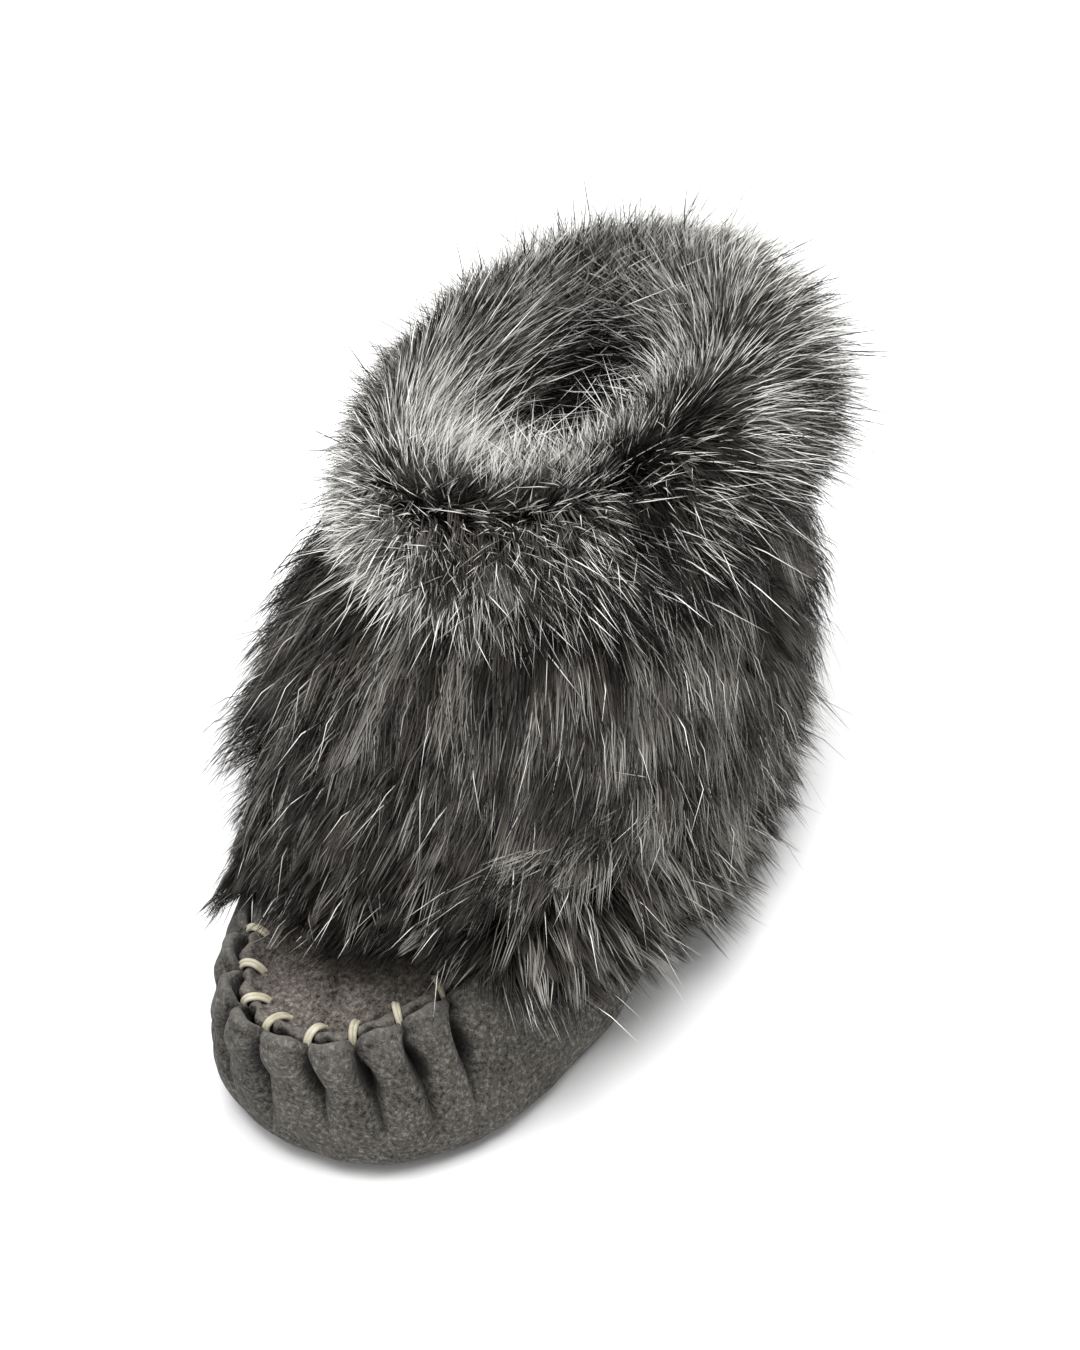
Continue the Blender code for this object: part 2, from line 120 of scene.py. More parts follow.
def smooth_between(table, places):
    """The rows of a table at any places between them, on one smooth curve."""
    last = len(table) - 1
    low = np.minimum(np.floor(places).astype(int), last - 1)
    share = (places - low)[..., None]
    a, b, c, d = (table[np.clip(low + step, 0, last)] for step in (-1, 0, 1, 2))
    bow = (2 * a - 5 * b + 4 * c - d) * share**2
    turn = (3 * b - a - 3 * c + d) * share**3
    return 0.5 * (2 * b + (c - a) * share + bow + turn)


def ring_values(r):
    """The ring table's columns at any ring coordinates."""
    values = smooth_between(RINGS, np.clip(r, 0.0, len(RINGS) - 1))
    return [values[..., i] for i in range(values.shape[-1])]


def last_point(t, r):
    """The outside of the hide before it is gathered. Past the collar it runs on straight."""
    t, r = np.broadcast_arrays(np.asarray(t, float), np.asarray(r, float))
    low_toe, low_heel, high_toe, high_heel, half, toe, heel, taper, square = ring_values(r)
    shaft = COLLAR_HEIGHT - SEAM_HEIGHT
    toe_z = low_toe * SEAM_HEIGHT + high_toe * shaft
    heel_z = low_heel * SEAM_HEIGHT + high_heel * shaft
    side = np.sign(np.sin(t)) * np.abs(np.sin(t)) ** square
    x = half * BALL_WIDTH / 2 * side * (1 + taper * np.cos(t))
    y = (heel - toe) * SOLE_LENGTH / 4 - (heel + toe) * SOLE_LENGTH / 4 * np.cos(t)
    place = np.stack((x, y, toe_z + (heel_z - toe_z) * (1 - np.cos(t)) / 2), axis=-1)
    beyond = np.maximum(r - COLLAR_RING, 0.0)
    if beyond.any():
        top, below = last_point(t, np.full(r.shape, COLLAR_RING)), last_point(t, np.full(r.shape, 8.9))
        place = place + (top - below) * 10 * beyond[..., None]
    return place


def last_normal(t, r):
    """Outward from the last, by the slopes along its ring and up its side."""
    t, r = np.broadcast_arrays(np.asarray(t, float), np.asarray(r, float))
    along = last_point(t + SLOPE_STEP, r) - last_point(t - SLOPE_STEP, r)
    below = np.maximum(0.0, r - SLOPE_STEP)
    up = last_point(t, below + 2 * SLOPE_STEP) - last_point(t, below)
    return unit(np.cross(along, up))


def skin_point(t, r, out):
    return last_point(t, r) + last_normal(t, r) * np.asarray(out)[..., None]


def seam_slope(t):
    """Along the gathered seam, over two slope steps."""
    return last_point(t + SLOPE_STEP, SEAM_RING) - last_point(t - SLOPE_STEP, SEAM_RING)


def plan_normal(t):
    """Level and outward from the gathered seam."""
    along = seam_slope(t)
    return unit(np.stack((along[..., 1], -along[..., 0], np.zeros(along.shape[:-1])), axis=-1))


def ring_share(t, r, length):
    """How much of a ring coordinate a length covers there."""
    step = last_point(t, np.asarray(r) + 0.5) - last_point(t, np.asarray(r) - 0.5)
    return length / np.linalg.norm(step, axis=-1)


def crease_angles():
    """Angles of the creases, evenly spaced along the seam from one side of the toe to the other."""
    steps = np.arange(0.0, math.pi / 2, SLOPE_STEP / 10)
    points = last_point(steps, SEAM_RING)
    reached = np.concatenate(([0.0], np.cumsum(np.linalg.norm(np.diff(points, axis=0), axis=1))))
    arcs = (np.arange(FLUTE_COUNT + 1) - FLUTE_COUNT / 2) * FLUTE_PITCH
    return np.sign(arcs) * np.interp(np.abs(arcs), reached, steps)


CREASES = crease_angles()


def flute_share(t):
    """Share of the way from one crease to the next, and 0.5 away from the toe."""
    t = signed(t)
    k = np.clip(np.searchsorted(CREASES, t, side="right") - 1, 0, FLUTE_COUNT - 1)
    share = (t - CREASES[k]) / (CREASES[k + 1] - CREASES[k])
    return np.where((share >= 0) & (share <= 1), share, 0.5)


def crest_share(t):
    """0 in a crease, 1 on the crest of a flute, and 1 again a pitch beyond the last crease."""
    t = signed(t)
    beyond = (np.abs(t) - CREASES[-1]) / (CREASES[-1] - CREASES[-2])
    outside = np.sin(math.pi / 2 * np.clip(beyond, 0, 1))
    return np.where(beyond > 0, outside, np.abs(np.sin(math.pi * flute_share(t))))


def pelt_edge(t):
    """Ring coordinate of the pelt's lower edge: across the vamp in front, on the seam round the quarters."""
    t = wrapped(t)
    lean = np.maximum(0.0, last_normal(t, SEAM_RING + 0.5)[..., 2])
    landing = SEAM_RING + ring_share(t, SEAM_RING + 0.5, SEAM_GAP + PELT_THICKNESS * lean)
    share = np.clip((t - PELT_TURNS) / (PELT_LANDS - PELT_TURNS), 0, 1)
    return landing + (VAMP_RING - landing) * np.sqrt(1 - share**2)


# Unevenness of hide and hair


def soft_noise(places, size, seed, waves=10):
    """Smooth waves of about a size through space, from -1 to 1."""
    rng = np.random.default_rng(seed)
    total = np.zeros(places.shape[:-1])
    for _ in range(waves):
        way = unit(rng.normal(size=3)) * rng.uniform(0.6, 1.5) * 2 * math.pi / size
        total += np.sin(places @ way + rng.uniform(0, 2 * math.pi))
    return total / math.sqrt(waves) / 1.2


# Materials

# Sockets of a Mix node that mixes colours
FIRST_COLOUR = 6
SECOND_COLOUR = 7
MIXED_COLOUR = 2
# What raises the nap of suede, and the heights at which it turns from dark to middle to light
SPECKLE_WEIGHT = 0.75
FIBRE_WEIGHT = 0.45
BLOTCH_WEIGHT = 0.30
MIDDLE_HEIGHTS = (0.56, 0.78)
LIGHT_HEIGHTS = (0.76, 0.98)


def node_maker(tree):
    """A function that makes a node, its inputs and its own settings given by name."""
    def make(kind, **settings):
        node = tree.nodes.new(kind)
        for key, value in settings.items():
            if key in node.inputs:
                node.inputs[key].default_value = value
            else:
                setattr(node, key, value)
        return node
    return make


def new_material(name, roughness=0.9, **values):
    """A material and its shader, and what makes and links its nodes."""
    finish = bpy.data.materials.new(name)
    finish.use_nodes = True
    tree = finish.node_tree
    shader = tree.nodes["Principled BSDF"]
    shader.inputs["Roughness"].default_value = roughness
    for key, value in values.items():
        shader.inputs[key.replace("_", " ")].default_value = value
    return finish, shader, node_maker(tree), tree.links.new


def textured(make, link, kind="Noise", output="Fac", **settings):
    """A texture laid out in the piece's own metres."""
    texture = make("ShaderNodeTex" + kind, **settings)
    link(make("ShaderNodeTexCoord").outputs["Object"], texture.inputs["Vector"])
    return texture.outputs[output]


def ranged(make, link, value, start, end, low=0.0, high=1.0, kind="SMOOTHSTEP"):
    """How far a value has come from start to end, as a number from low to high."""
    node = make("ShaderNodeMapRange", interpolation_type=kind)
    for socket, number in (("From Min", start), ("From Max", end), ("To Min", low), ("To Max", high)):
        node.inputs[socket].default_value = number
    link(value, node.inputs["Value"])
    return node.outputs["Result"]


def mixed(make, link, share, first, second, blend="MIX"):
    """A colour between two, each of them a socket or plain red, green and blue."""
    node = make("ShaderNodeMix", data_type="RGBA", blend_type=blend)
    link(share, node.inputs["Factor"])
    for socket, colour in ((FIRST_COLOUR, first), (SECOND_COLOUR, second)):
        if isinstance(colour, tuple):
            node.inputs[socket].default_value = (*colour, 1)
        else:
            link(colour, node.inputs[socket])
    return node.outputs[MIXED_COLOUR]


def weighed(make, link, value, weight, rest=None):
    """A value times its weight, on top of the rest."""
    node = make("ShaderNodeMath", operation="MULTIPLY_ADD")
    link(value, node.inputs[0])
    node.inputs[1].default_value = weight
    node.inputs[2].default_value = 0.0
    if rest is not None:
        link(rest, node.inputs[2])
    return node.outputs[0]


def bumped(make, link, shader, height, strength, depth):
    relief = make("ShaderNodeBump", Strength=strength, Distance=depth)
    link(height, relief.inputs["Height"])
    link(relief.outputs["Normal"], shader.inputs["Normal"])


def ramp(make, link, value, stops):
    """The colour that a value picks from a band of stops."""
    node = make("ShaderNodeValToRGB")
    band = node.color_ramp
    while len(band.elements) < len(stops):
        band.elements.new(0.5)
    for element, (place, colour) in zip(band.elements, stops):
        element.position = place
        element.color = (*colour, 1)
    link(value, node.inputs["Fac"])
    return node.outputs["Color"]


def nap_group():
    """Heathered, napped suede: its colour, its roughness and the height of its fibres."""
    group = bpy.data.node_groups.new("suede nap", "ShaderNodeTree")
    for name in ("Dark", "Middle", "Light"):
        group.interface.new_socket(name, in_out="INPUT", socket_type="NodeSocketColor")
    for name, kind in (("Color", "Color"), ("Roughness", "Float"), ("Height", "Float")):
        group.interface.new_socket(name, in_out="OUTPUT", socket_type="NodeSocket" + kind)
    make, link = node_maker(group), group.links.new
    given, result = make("NodeGroupInput"), make("NodeGroupOutput")
    speckle = textured(make, link, Scale=1500.0, Detail=3.0, Roughness=0.62)
    fibre = textured(make, link, Scale=4500.0, Detail=2.0, Roughness=0.7, Distortion=0.3)
    blotch = textured(make, link, Scale=160.0, Detail=3.0, Roughness=0.55)
    height = weighed(make, link, speckle, SPECKLE_WEIGHT)
    height = weighed(make, link, fibre, FIBRE_WEIGHT, height)
    height = weighed(make, link, blotch, BLOTCH_WEIGHT, height)
    colour = given.outputs["Dark"]
    for shade, (start, end) in (("Middle", MIDDLE_HEIGHTS), ("Light", LIGHT_HEIGHTS)):
        colour = mixed(make, link, ranged(make, link, height, start, end), colour, given.outputs[shade])
    rough = ranged(make, link, fibre, 0.0, 1.0, 0.85, 1.0, "LINEAR")
    link(colour, result.inputs["Color"])
    link(rough, result.inputs["Roughness"])
    link(height, result.inputs["Height"])
    return group


SUEDE_NAP = nap_group()
# Colour multiplied into the suede where shade falls in its creases and pits: painted shade
PAINTED_CREASE_SHADE = (0.16, 0.15, 0.14)


def suede(name, dark, middle, light, highlight, bump):
    """Suede with painted shade in its tight creases and hollows and a painted highlight on the tops of its
    edges, both from a vertex attribute from 0 to 1, with 0.5 plain: lower values multiply in the painted
    crease shade, higher ones turn the nap towards the highlight colour.
    """
    finish, shader, make, link = new_material(
        name, Sheen_Weight=0.04, Sheen_Roughness=0.6, Specular_IOR_Level=0.1)
    nap = make("ShaderNodeGroup", node_tree=SUEDE_NAP)
    for socket, colour in (("Dark", dark), ("Middle", middle), ("Light", light)):
        nap.inputs[socket].default_value = (*colour, 1)
    painted_light = make("ShaderNodeAttribute", attribute_name="painted_light").outputs["Fac"]
    # Above 0.5 the painted highlight is mixed in, below 0.5 the painted shade is multiplied in
    up = ranged(make, link, painted_light, 0.5, 1.0, kind="LINEAR")
    down = ranged(make, link, painted_light, 0.5, 0.0, kind="LINEAR")
    colour = mixed(make, link, up, nap.outputs["Color"], highlight)
    colour = mixed(make, link, down, colour, PAINTED_CREASE_SHADE, "MULTIPLY")
    link(colour, shader.inputs["Base Color"])
    link(nap.outputs["Roughness"], shader.inputs["Roughness"])
    bumped(make, link, shader, nap.outputs["Height"], 0.9, bump)
    return finish


def hair_material(name, roots, middles, tips, belly, point, roughness=0.5):
    """Hair coloured by its own UV map: a hair's tone runs across it, the way from root to tip up it."""
    finish, shader, make, link = new_material(name, roughness, Specular_IOR_Level=0.12)
    split = make("ShaderNodeSeparateXYZ")
    link(make("ShaderNodeUVMap", uv_map="OFBake").outputs["UV"], split.inputs[0])
    tone, along = split.outputs["X"], split.outputs["Y"]
    colour = ramp(make, link, tone, roots)
    for stops, (start, end) in ((middles, belly), (tips, point)):
        share = ranged(make, link, along, start, end)
        colour = mixed(make, link, share, colour, ramp(make, link, tone, stops))
    link(colour, shader.inputs["Base Color"])
    return finish


# Tone of a hair, from 0 to 1: black, brown-grey, slate, silver
UNDERFUR = hair_material(
    "underfur",
    # Near-black roots: partly the underfur's own dark base, partly painted shade deep in the fur
    roots=((0.0, (0.004, 0.004, 0.004)), (0.5, (0.012, 0.011, 0.010)), (1.0, (0.05, 0.05, 0.05))),
    middles=(
        (0.0, (0.006, 0.006, 0.005)), (0.4, (0.050, 0.044, 0.038)),
        (0.7, (0.14, 0.132, 0.122)), (1.0, (0.30, 0.30, 0.29)),
    ),
    tips=(
        (0.0, (0.012, 0.011, 0.010)), (0.4, (0.100, 0.090, 0.080)),
        (0.7, (0.25, 0.24, 0.226)), (1.0, (0.50, 0.50, 0.49)),
    ),
    belly=(0.10, 0.55),
    point=(0.50, 1.0),
    roughness=0.9,
)
# Dark shafts; above a tone of 0.45 the last third is white
WHITE_TIPPED = hair_material(
    "white-tipped guard hair",
    roots=((0.0, (0.004, 0.004, 0.004)), (1.0, (0.015, 0.014, 0.013))),
    middles=((0.0, (0.005, 0.005, 0.005)), (0.45, (0.014, 0.013, 0.012)), (1.0, (0.11, 0.105, 0.10))),
    tips=(
        (0.0, (0.006, 0.006, 0.006)), (0.38, (0.022, 0.020, 0.018)),
        (0.48, (0.70, 0.69, 0.655)), (1.0, (0.95, 0.95, 0.92)),
    ),
    belly=(0.15, 0.50),
    point=(0.54, 0.66),
    roughness=0.45,
)
# Pale along most of its length above a tone of 0.5
SILVER = hair_material(
    "silver guard hair",
    roots=((0.0, (0.004, 0.004, 0.004)), (1.0, (0.02, 0.02, 0.019))),
    middles=(
        (0.0, (0.005, 0.005, 0.005)), (0.45, (0.014, 0.013, 0.012)),
        (0.70, (0.14, 0.13, 0.118)), (1.0, (0.28, 0.27, 0.25)),
    ),
    tips=(
        (0.0, (0.006, 0.006, 0.006)), (0.42, (0.030, 0.027, 0.024)),
        (0.62, (0.20, 0.19, 0.172)), (1.0, (0.50, 0.49, 0.46)),
    ),
    belly=(0.22, 0.48),
    point=(0.60, 0.85),
    roughness=0.45,
)


# Hide, plug and thread

WELD = 1e-6


def placed(name, data):
    """A new object in the scene, at the origin."""
    piece = bpy.data.objects.new(name, data)
    bpy.context.scene.collection.objects.link(piece)
    return piece


def add_wall(piece, thickness):
    """Gives a skin its thickness, behind it."""
    wall = piece.modifiers.new("wall", "SOLIDIFY")
    wall.thickness = thickness
    wall.offset = -1


def finished(name, bm, finish):
    """A finished piece from its bmesh."""
    mesh = bpy.data.meshes.new(name)
    bm.to_mesh(mesh)
    bm.free()
    mesh.materials.append(finish)
    mesh.shade_smooth()
    return placed(name, mesh)


def skin_from_rows(name, rows, painted_light, finish):
    """A grid whose rows are drawn to equal rows of places, closed where they meet."""
    count, columns = len(rows), len(rows[0])
    bm = bmesh.new()
    bmesh.ops.create_grid(bm, x_segments=columns - 1, y_segments=count - 1, size=1.0)
    layer = bm.verts.layers.float.new("painted_light")
    for vert in bm.verts:
        column = round((vert.co.x + 1) / 2 * (columns - 1))
        row = round((vert.co.y + 1) / 2 * (count - 1))
        vert.co = rows[row][column]
        vert[layer] = painted_light[row][column]
    bmesh.ops.remove_doubles(bm, verts=bm.verts, dist=WELD)
    bmesh.ops.recalc_face_normals(bm, faces=bm.faces)
    return finished(name, bm, finish)


FLUTE_SHARES = (
    0, 0.012, 0.026, 0.045, 0.07, 0.105, 0.15, 0.21, 0.28, 0.36, 0.44,
    0.52, 0.60, 0.68, 0.75, 0.81, 0.86, 0.90, 0.935, 0.96, 0.978, 0.99,
)
END_SHARES = (0.012, 0.026, 0.045, 0.07, 0.105, 0.15, 0.21, 0.28, 0.38, 0.5, 0.63, 0.77, 0.9, 1.0)
QUARTER_COLUMNS = 90
RIM_HALF = 0.85 * MM
SHOULDER = 0.55 * MM
LIP_RISE = 0.55 * MM
PIT_DEPTH = 3.0 * MM
PIT_WIDTH = 1.0 * MM
PIT_RING = 3.22
FOLD_DEPTH = 0.6 * MM
FOLD_WIDTH = 0.8 * MM
GATHER_DRAW = 0.075
PLUG_THICKNESS = 0.8 * MM
PLUG_HOLLOW = 1.5 * MM
# The plug's rolled edge: how far in, how far down in mm, and its painted light, below 0.5 painted shade down
# in the crease and above 0.5 a painted highlight on the roll's top
PLUG_ROLL = (
    (0.0, 3.0, 0.15), (0.0, 1.6, 0.2), (0.0, 0.7, 0.4), (0.16, 0.2, 0.66),
    (0.42, 0.0, 0.62), (0.7, 0.12, 0.60), (0.9, 0.5, 0.52), (1.0, 1.0, 0.42),
)
PLUG_SHARES = (0.03, 0.08, 0.15, 0.23, 0.32, 0.42, 0.52, 0.62, 0.72, 0.82, 0.91, 1.0)


def hide_columns():
    """Angles of the hide's columns, close together beside the creases."""
    angles = []
    for first, second in zip(CREASES, CREASES[1:]):
        angles += [first + (second - first) * share for share in FLUTE_SHARES]
    pitch = CREASES[-1] - CREASES[-2]
    near = [share * pitch for share in END_SHARES]
    start, end = CREASES[-1] + near[-1], 2 * math.pi + CREASES[0] - near[-1]
    angles += [CREASES[-1]] + [CREASES[-1] + step for step in near]
    angles += list(np.linspace(start, end, QUARTER_COLUMNS)[1:-1])
    angles += [2 * math.pi + CREASES[0] - step for step in reversed(near)]
    return np.array(angles + [2 * math.pi + CREASES[0]])


def crease_distance(t):
    """How far along the seam the nearest crease lies, in metres."""
    t = signed(t)
    gap = np.min(np.abs(t[..., None] - CREASES), axis=-1)
    slope = seam_slope(t)
    return gap * np.linalg.norm(slope, axis=-1) / (2 * SLOPE_STEP)


def drawn_angle(t, r):
    """Where a column of the hide lies on the last. Below the seam the columns draw in towards the toe, and so
    the creases fall nearly upright."""
    whole = signed(t)
    pull = GATHER_DRAW * (SEAM_RING - r) * (1 - smooth_step(1.3, 2.6, np.abs(whole)))
    return whole * (1 - pull)


def wall_sink(t, r):
    """How deep the gathered wall lies under the last: rounded flutes between tight creases, with a pit under
    each thread and a shoulder below the rim of each flute."""
    crest = crest_share(t)
    sink = (1 - crest**CREST_FLATNESS) * FLUTE_DEPTH * smooth_step(1.5, 3.4, r)
    near = crease_distance(t)
    pit = np.exp(-(near / PIT_WIDTH) ** 2 - ((r - PIT_RING) / 0.3) ** 2)
    fold = np.exp(-(near / FOLD_WIDTH) ** 2) * smooth_step(1.4, 2.6, r) * (1 - smooth_step(3.5, 4.0, r))
    shoulder = crest**0.6 * np.exp(-((r - 3.5) / 0.3) ** 2)
    return sink + PIT_DEPTH * pit + FOLD_DEPTH * fold - SHOULDER * shoulder * (wrapped(t) < CREASES[-1])


def gathered_wall(t, r):
    """The outside of the gathered hide, a little uneven as soft suede is."""
    place = skin_point(drawn_angle(t, r), r, -wall_sink(t, r))
    sink = 1 - crest_share(t) ** CREST_FLATNESS
    place[..., 2] -= FLUTE_RISE * sink * smooth_step(3.0, 4.0, r)
    sag = soft_noise(place, 17 * MM, 3) * 0.35 * MM + soft_noise(place, 5.5 * MM, 4) * 0.13 * MM
    return place + last_normal(drawn_angle(t, r), r) * (sag * smooth_step(0.4, 1.4, r))[..., None]


def build_hide():
    """Sole, walls and rim in one piece of suede, whose cut edge stands up round the toe."""
    t = hide_columns()
    out = plan_normal(t)
    crest = crest_share(t)
    tread = last_point(drawn_angle(t, 0.0), 0.0)
    middle = np.array((0.0, tread[:, 1].mean(), 0.0))
    rows, painted_light = [], []

    def add(places, amount):
        rows.append(places)
        painted_light.append(np.broadcast_to(amount, t.shape))

    for share in (0.0, 0.35, 0.7, 0.9, 0.97):
        add(middle + (tread - middle) * share, 0.5)
    rim_start = SEAM_RING - ring_share(t, SEAM_RING - 0.5, RIM_HALF)
    gap = crease_distance(t)
    near = np.exp(-(gap / (0.7 * MM)) ** 2)
    flute_top = crest**0.6 * (wrapped(t) < CREASES[-1])
    for share in np.concatenate((np.linspace(0, 0.55, 16), np.linspace(0.57, 0.97, 26))):
        r = share * rim_start
        pit = np.exp(-(gap / PIT_WIDTH) ** 2 - ((r - PIT_RING) / 0.34) ** 2)
        # Painted shade: darker in the creases and in the pits under the threads. Painted highlight: lighter
        # on the flute crests just below the rim.
        dark = np.maximum(near * (0.85 * smooth_step(1.8, 3.2, r)), np.minimum(2.6 * pit, 1.0))
        light = 0.25 * smooth_step(0.88, 1.0, share) * crest**0.5
        add(gathered_wall(t, r), 0.5 - 0.5 * dark + 0.5 * light * (1 - dark))
    top = gathered_wall(t, rim_start)
    frayed = soft_noise(top, 2.4 * MM, 5) * 0.18 * MM + soft_noise(top, 1.1 * MM, 6) * 0.11 * MM
    thick = RIM_HALF * (1 + 0.15 * soft_noise(top, 4 * MM, 8))
    for angle in (0, 25, 50, 75, 100, 125, 150, 175):
        turn = math.radians(angle)
        inward, rise = 1 - math.cos(turn), math.sin(turn)
        height = (thick + frayed) * rise + LIP_RISE * flute_top * min(1.0, angle / 60)
        place = top - out * (thick * inward)[:, None] + UP * height[:, None]
        # The rim's top is lighter over the crests, a painted highlight, and its low side darker beside the
        # creases, painted shade
        add(place, 0.5 + 0.22 * rise * crest**0.7 - 0.45 * near * (1 - rise))
    # Painted shade: darker behind the rim and on the hide's inner walls and sole
    for depth in (1.0, 2.2, 3.6):
        add(top - out * (2 * thick)[:, None] - UP * depth * MM, 0.25)
    for r in (3.1, 2.4, 1.6, 0.9, 0.45):
        sink = wall_sink(t, 3.4) * smooth_step(1.3, 3.4, r)
        add(skin_point(drawn_angle(t, r), r, -sink - HIDE_THICKNESS), 0.4)
    for share in (0.93, 0.5, 0.0):
        add(middle + (tread - middle) * share + UP * HIDE_THICKNESS, 0.4)
    finish = suede("grey suede", dark=(0.012, 0.011, 0.0095), middle=(0.074, 0.069, 0.061),
                   light=(0.215, 0.204, 0.184), highlight=(0.17, 0.162, 0.15), bump=0.34 * MM)
    piece = skin_from_rows("bottom_hide_suede", rows, painted_light, finish)
    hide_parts("bottom_hide")
    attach(piece, "root")


def vamp_height(x, y):
    """Height of the last above places on the toe or the vamp, by the ring that passes over them."""
    low, high = np.full(np.shape(x), SEAM_RING), np.full(np.shape(x), TIER_RING)
    for _ in range(HALVINGS):
        middle = (low + high) / 2
        t = ring_angle(middle, y)
        outside = last_point(t, middle)[..., 0] > np.abs(x)
        low, high = np.where(outside, middle, low), np.where(outside, high, middle)
    return last_point(ring_angle(low, y), low)[..., 2]


def ring_angle(r, y):
    """Angle at which ring r passes a distance y along the shoe."""
    toe, heel = ring_values(np.asarray(r))[5:7]
    cosine = ((heel - toe) * SOLE_LENGTH / 4 - y) / ((heel + toe) * SOLE_LENGTH / 4)
    return np.arccos(np.clip(cosine, -1.0, 1.0))


def plug_edge(t):
    """Top of the plug's edge, square to the seam and just clear of the gathered wall."""
    inset = FLUTE_DEPTH * (1 - crest_share(t)) + HIDE_THICKNESS + FACET_GAP
    place = last_point(t, SEAM_RING) - plan_normal(t) * inset[..., None]
    place[..., 2] -= PLUG_DIP
    return place


def plug_back(t):
    """Where the straight way from inside the gathered seam to the plug's hub meets the pelt's edge."""
    hub = last_point(0.0, VAMP_RING)[1] + PLUG_HUB
    start = last_point(t, SEAM_RING) - plan_normal(t) * (FLUTE_DEPTH + HIDE_THICKNESS)
    aim = np.arctan2(np.abs(start[..., 0]), hub - start[..., 1])
    low, high = np.zeros(np.shape(t)), np.full(np.shape(t), PELT_LANDS)
    for _ in range(HALVINGS):
        turn = (low + high) / 2
        place = last_point(turn, pelt_edge(turn) - ring_share(turn, pelt_edge(turn), FACET_GAP))
        short = np.arctan2(place[..., 0], hub - place[..., 1]) < aim
        low, high = np.where(short, turn, low), np.where(short, high, turn)
    place[..., 0] *= np.sign(t)
    return place


def plug_point(t, share):
    """The plug's top, from its dipped edge in the seam, share 0, to the pelt's edge, share 1."""
    t, share = np.broadcast_arrays(np.asarray(t, float), np.asarray(share, float))
    edge = plug_edge(t)
    place = edge + (plug_back(t) - edge) * share[..., None]
    dip = vamp_height(edge[..., 0], edge[..., 1]) - edge[..., 2]
    place[..., 2] = vamp_height(place[..., 0], place[..., 1]) - dip * (1 - share) ** 2
    return place


def build_plug():
    """The brownish suede panel. Its edge stands up beside the hide's, with a small hollow between them in
    each flute."""
    t = np.unique(np.round(signed(hide_columns()), 9))
    t = t[np.abs(t) < PLUG_ENDS]
    out = plan_normal(t)
    seam = last_point(t, SEAM_RING)
    crest = crest_share(t) ** CREST_FLATNESS
    hollow = np.exp(-((flute_share(t) - 0.40) / 0.19) ** 2) * (np.abs(t) < CREASES[-1])
    hide_edge = FLUTE_DEPTH * (1 - crest) + 2 * RIM_HALF
    outer = hide_edge + 0.12 * MM + PLUG_HOLLOW * hollow
    inner = np.maximum(outer + 1.0 * MM, FLUTE_DEPTH * 0.75 * (1 - 0.6 * crest) + 2 * RIM_HALF + 1.9 * MM)
    rim_z = seam[:, 2] - FLUTE_RISE * (1 - crest) - 0.25 * MM
    frayed = soft_noise(seam - out * inner[:, None], 1.8 * MM, 9) * 0.24 * MM
    rows, painted_light = [], []
    for inward, drop, amount in PLUG_ROLL:
        place = seam - out * (outer + (inner - outer) * inward)[:, None]
        place[:, 2] = rim_z + frayed * (1 - drop / 3) - drop * MM
        rows.append(place)
        # Painted shade down in the crease and a painted highlight on the top of the roll
        painted_light.append(np.full(t.shape, amount))
    foot = rows[-1]
    back = plug_point(t, 1.0)
    for share in PLUG_SHARES:
        place = foot + (back - foot) * share
        level = vamp_height(place[:, 0], place[:, 1])
        if share == PLUG_SHARES[0]:
            dip = level - foot[:, 2] + 0.35 * MM
            even = np.median(dip)
        uneven = soft_noise(place, 9 * MM, 12) * 0.22 + soft_noise(place, 3.2 * MM, 13) * 0.10
        place[:, 2] = level - even * (1 - share) ** 2.2 - (dip - even) * math.exp(-share / 0.07)
        place[:, 2] += uneven * MM * (1 - share)
        rows.append(place)
        # Painted shade: darker where the plug dips to its edge
        painted_light.append(np.full(t.shape, 0.5 - 0.12 * math.exp(-share / 0.05)))
    finish = suede("brown-grey suede", dark=(0.015, 0.013, 0.011), middle=(0.092, 0.081, 0.070),
                   light=(0.235, 0.212, 0.191), highlight=(0.18, 0.168, 0.154), bump=0.26 * MM)
    piece = skin_from_rows("toe_plug_suede", rows, painted_light, finish)
    if sum(face.normal.z for face in piece.data.polygons) < 0:
        piece.data.flip_normals()
    add_wall(piece, PLUG_THICKNESS)
    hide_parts("toe_plug")
    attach(piece, "root")


# One whip stitch, from inside the plug over both edges into its crease, from the seam's own place.
# Columns in mm: along the seam, outwards, up
STITCH_ROUTE = np.array((
    (1.00, -6.30, -3.20),
    (0.95, -6.05, -1.90),
    (0.78, -5.50, -1.00),
    (0.36, -4.55, -0.55),
    (-0.06, -3.50, -0.60),
    (-0.32, -2.70, -1.10),
    (-0.42, -2.40, -2.05),
    (-0.42, -2.80, -3.30),
)) * MM


def stitch_path(t, slack):
    """The middle of one whip stitch. Slack lifts its arch a little."""
    out = plan_normal(t)
    along = unit(seam_slope(t))
    sides, outwards, rises = STITCH_ROUTE.T
    rises = rises + slack * np.exp(-((outwards + 4.2 * MM) / (1.2 * MM)) ** 2)
    return last_point(t, SEAM_RING) + sides[:, None] * along + outwards[:, None] * out + rises[:, None] * UP


def thread_material():
    finish, shader, make, link = new_material(
        "waxed cream cord", 0.55, Specular_IOR_Level=0.35, Sheen_Weight=0.1)
    fibre = textured(make, link, Scale=2600.0, Detail=3.0)
    soil = textured(make, link, Scale=420.0, Detail=2.0)
    creams = ((0.30, (0.24, 0.21, 0.145)), (0.5, (0.40, 0.37, 0.275)), (0.75, (0.52, 0.49, 0.39)))
    link(ramp(make, link, soil, creams), shader.inputs["Base Color"])
    bumped(make, link, shader, fibre, 0.6, 0.1 * MM)
    return finish


STRAND_RADIUS = 0.37 * MM
STRAND_OFFSET = 0.25 * MM
STITCH_STEPS = 46
STITCH_SEED = 3


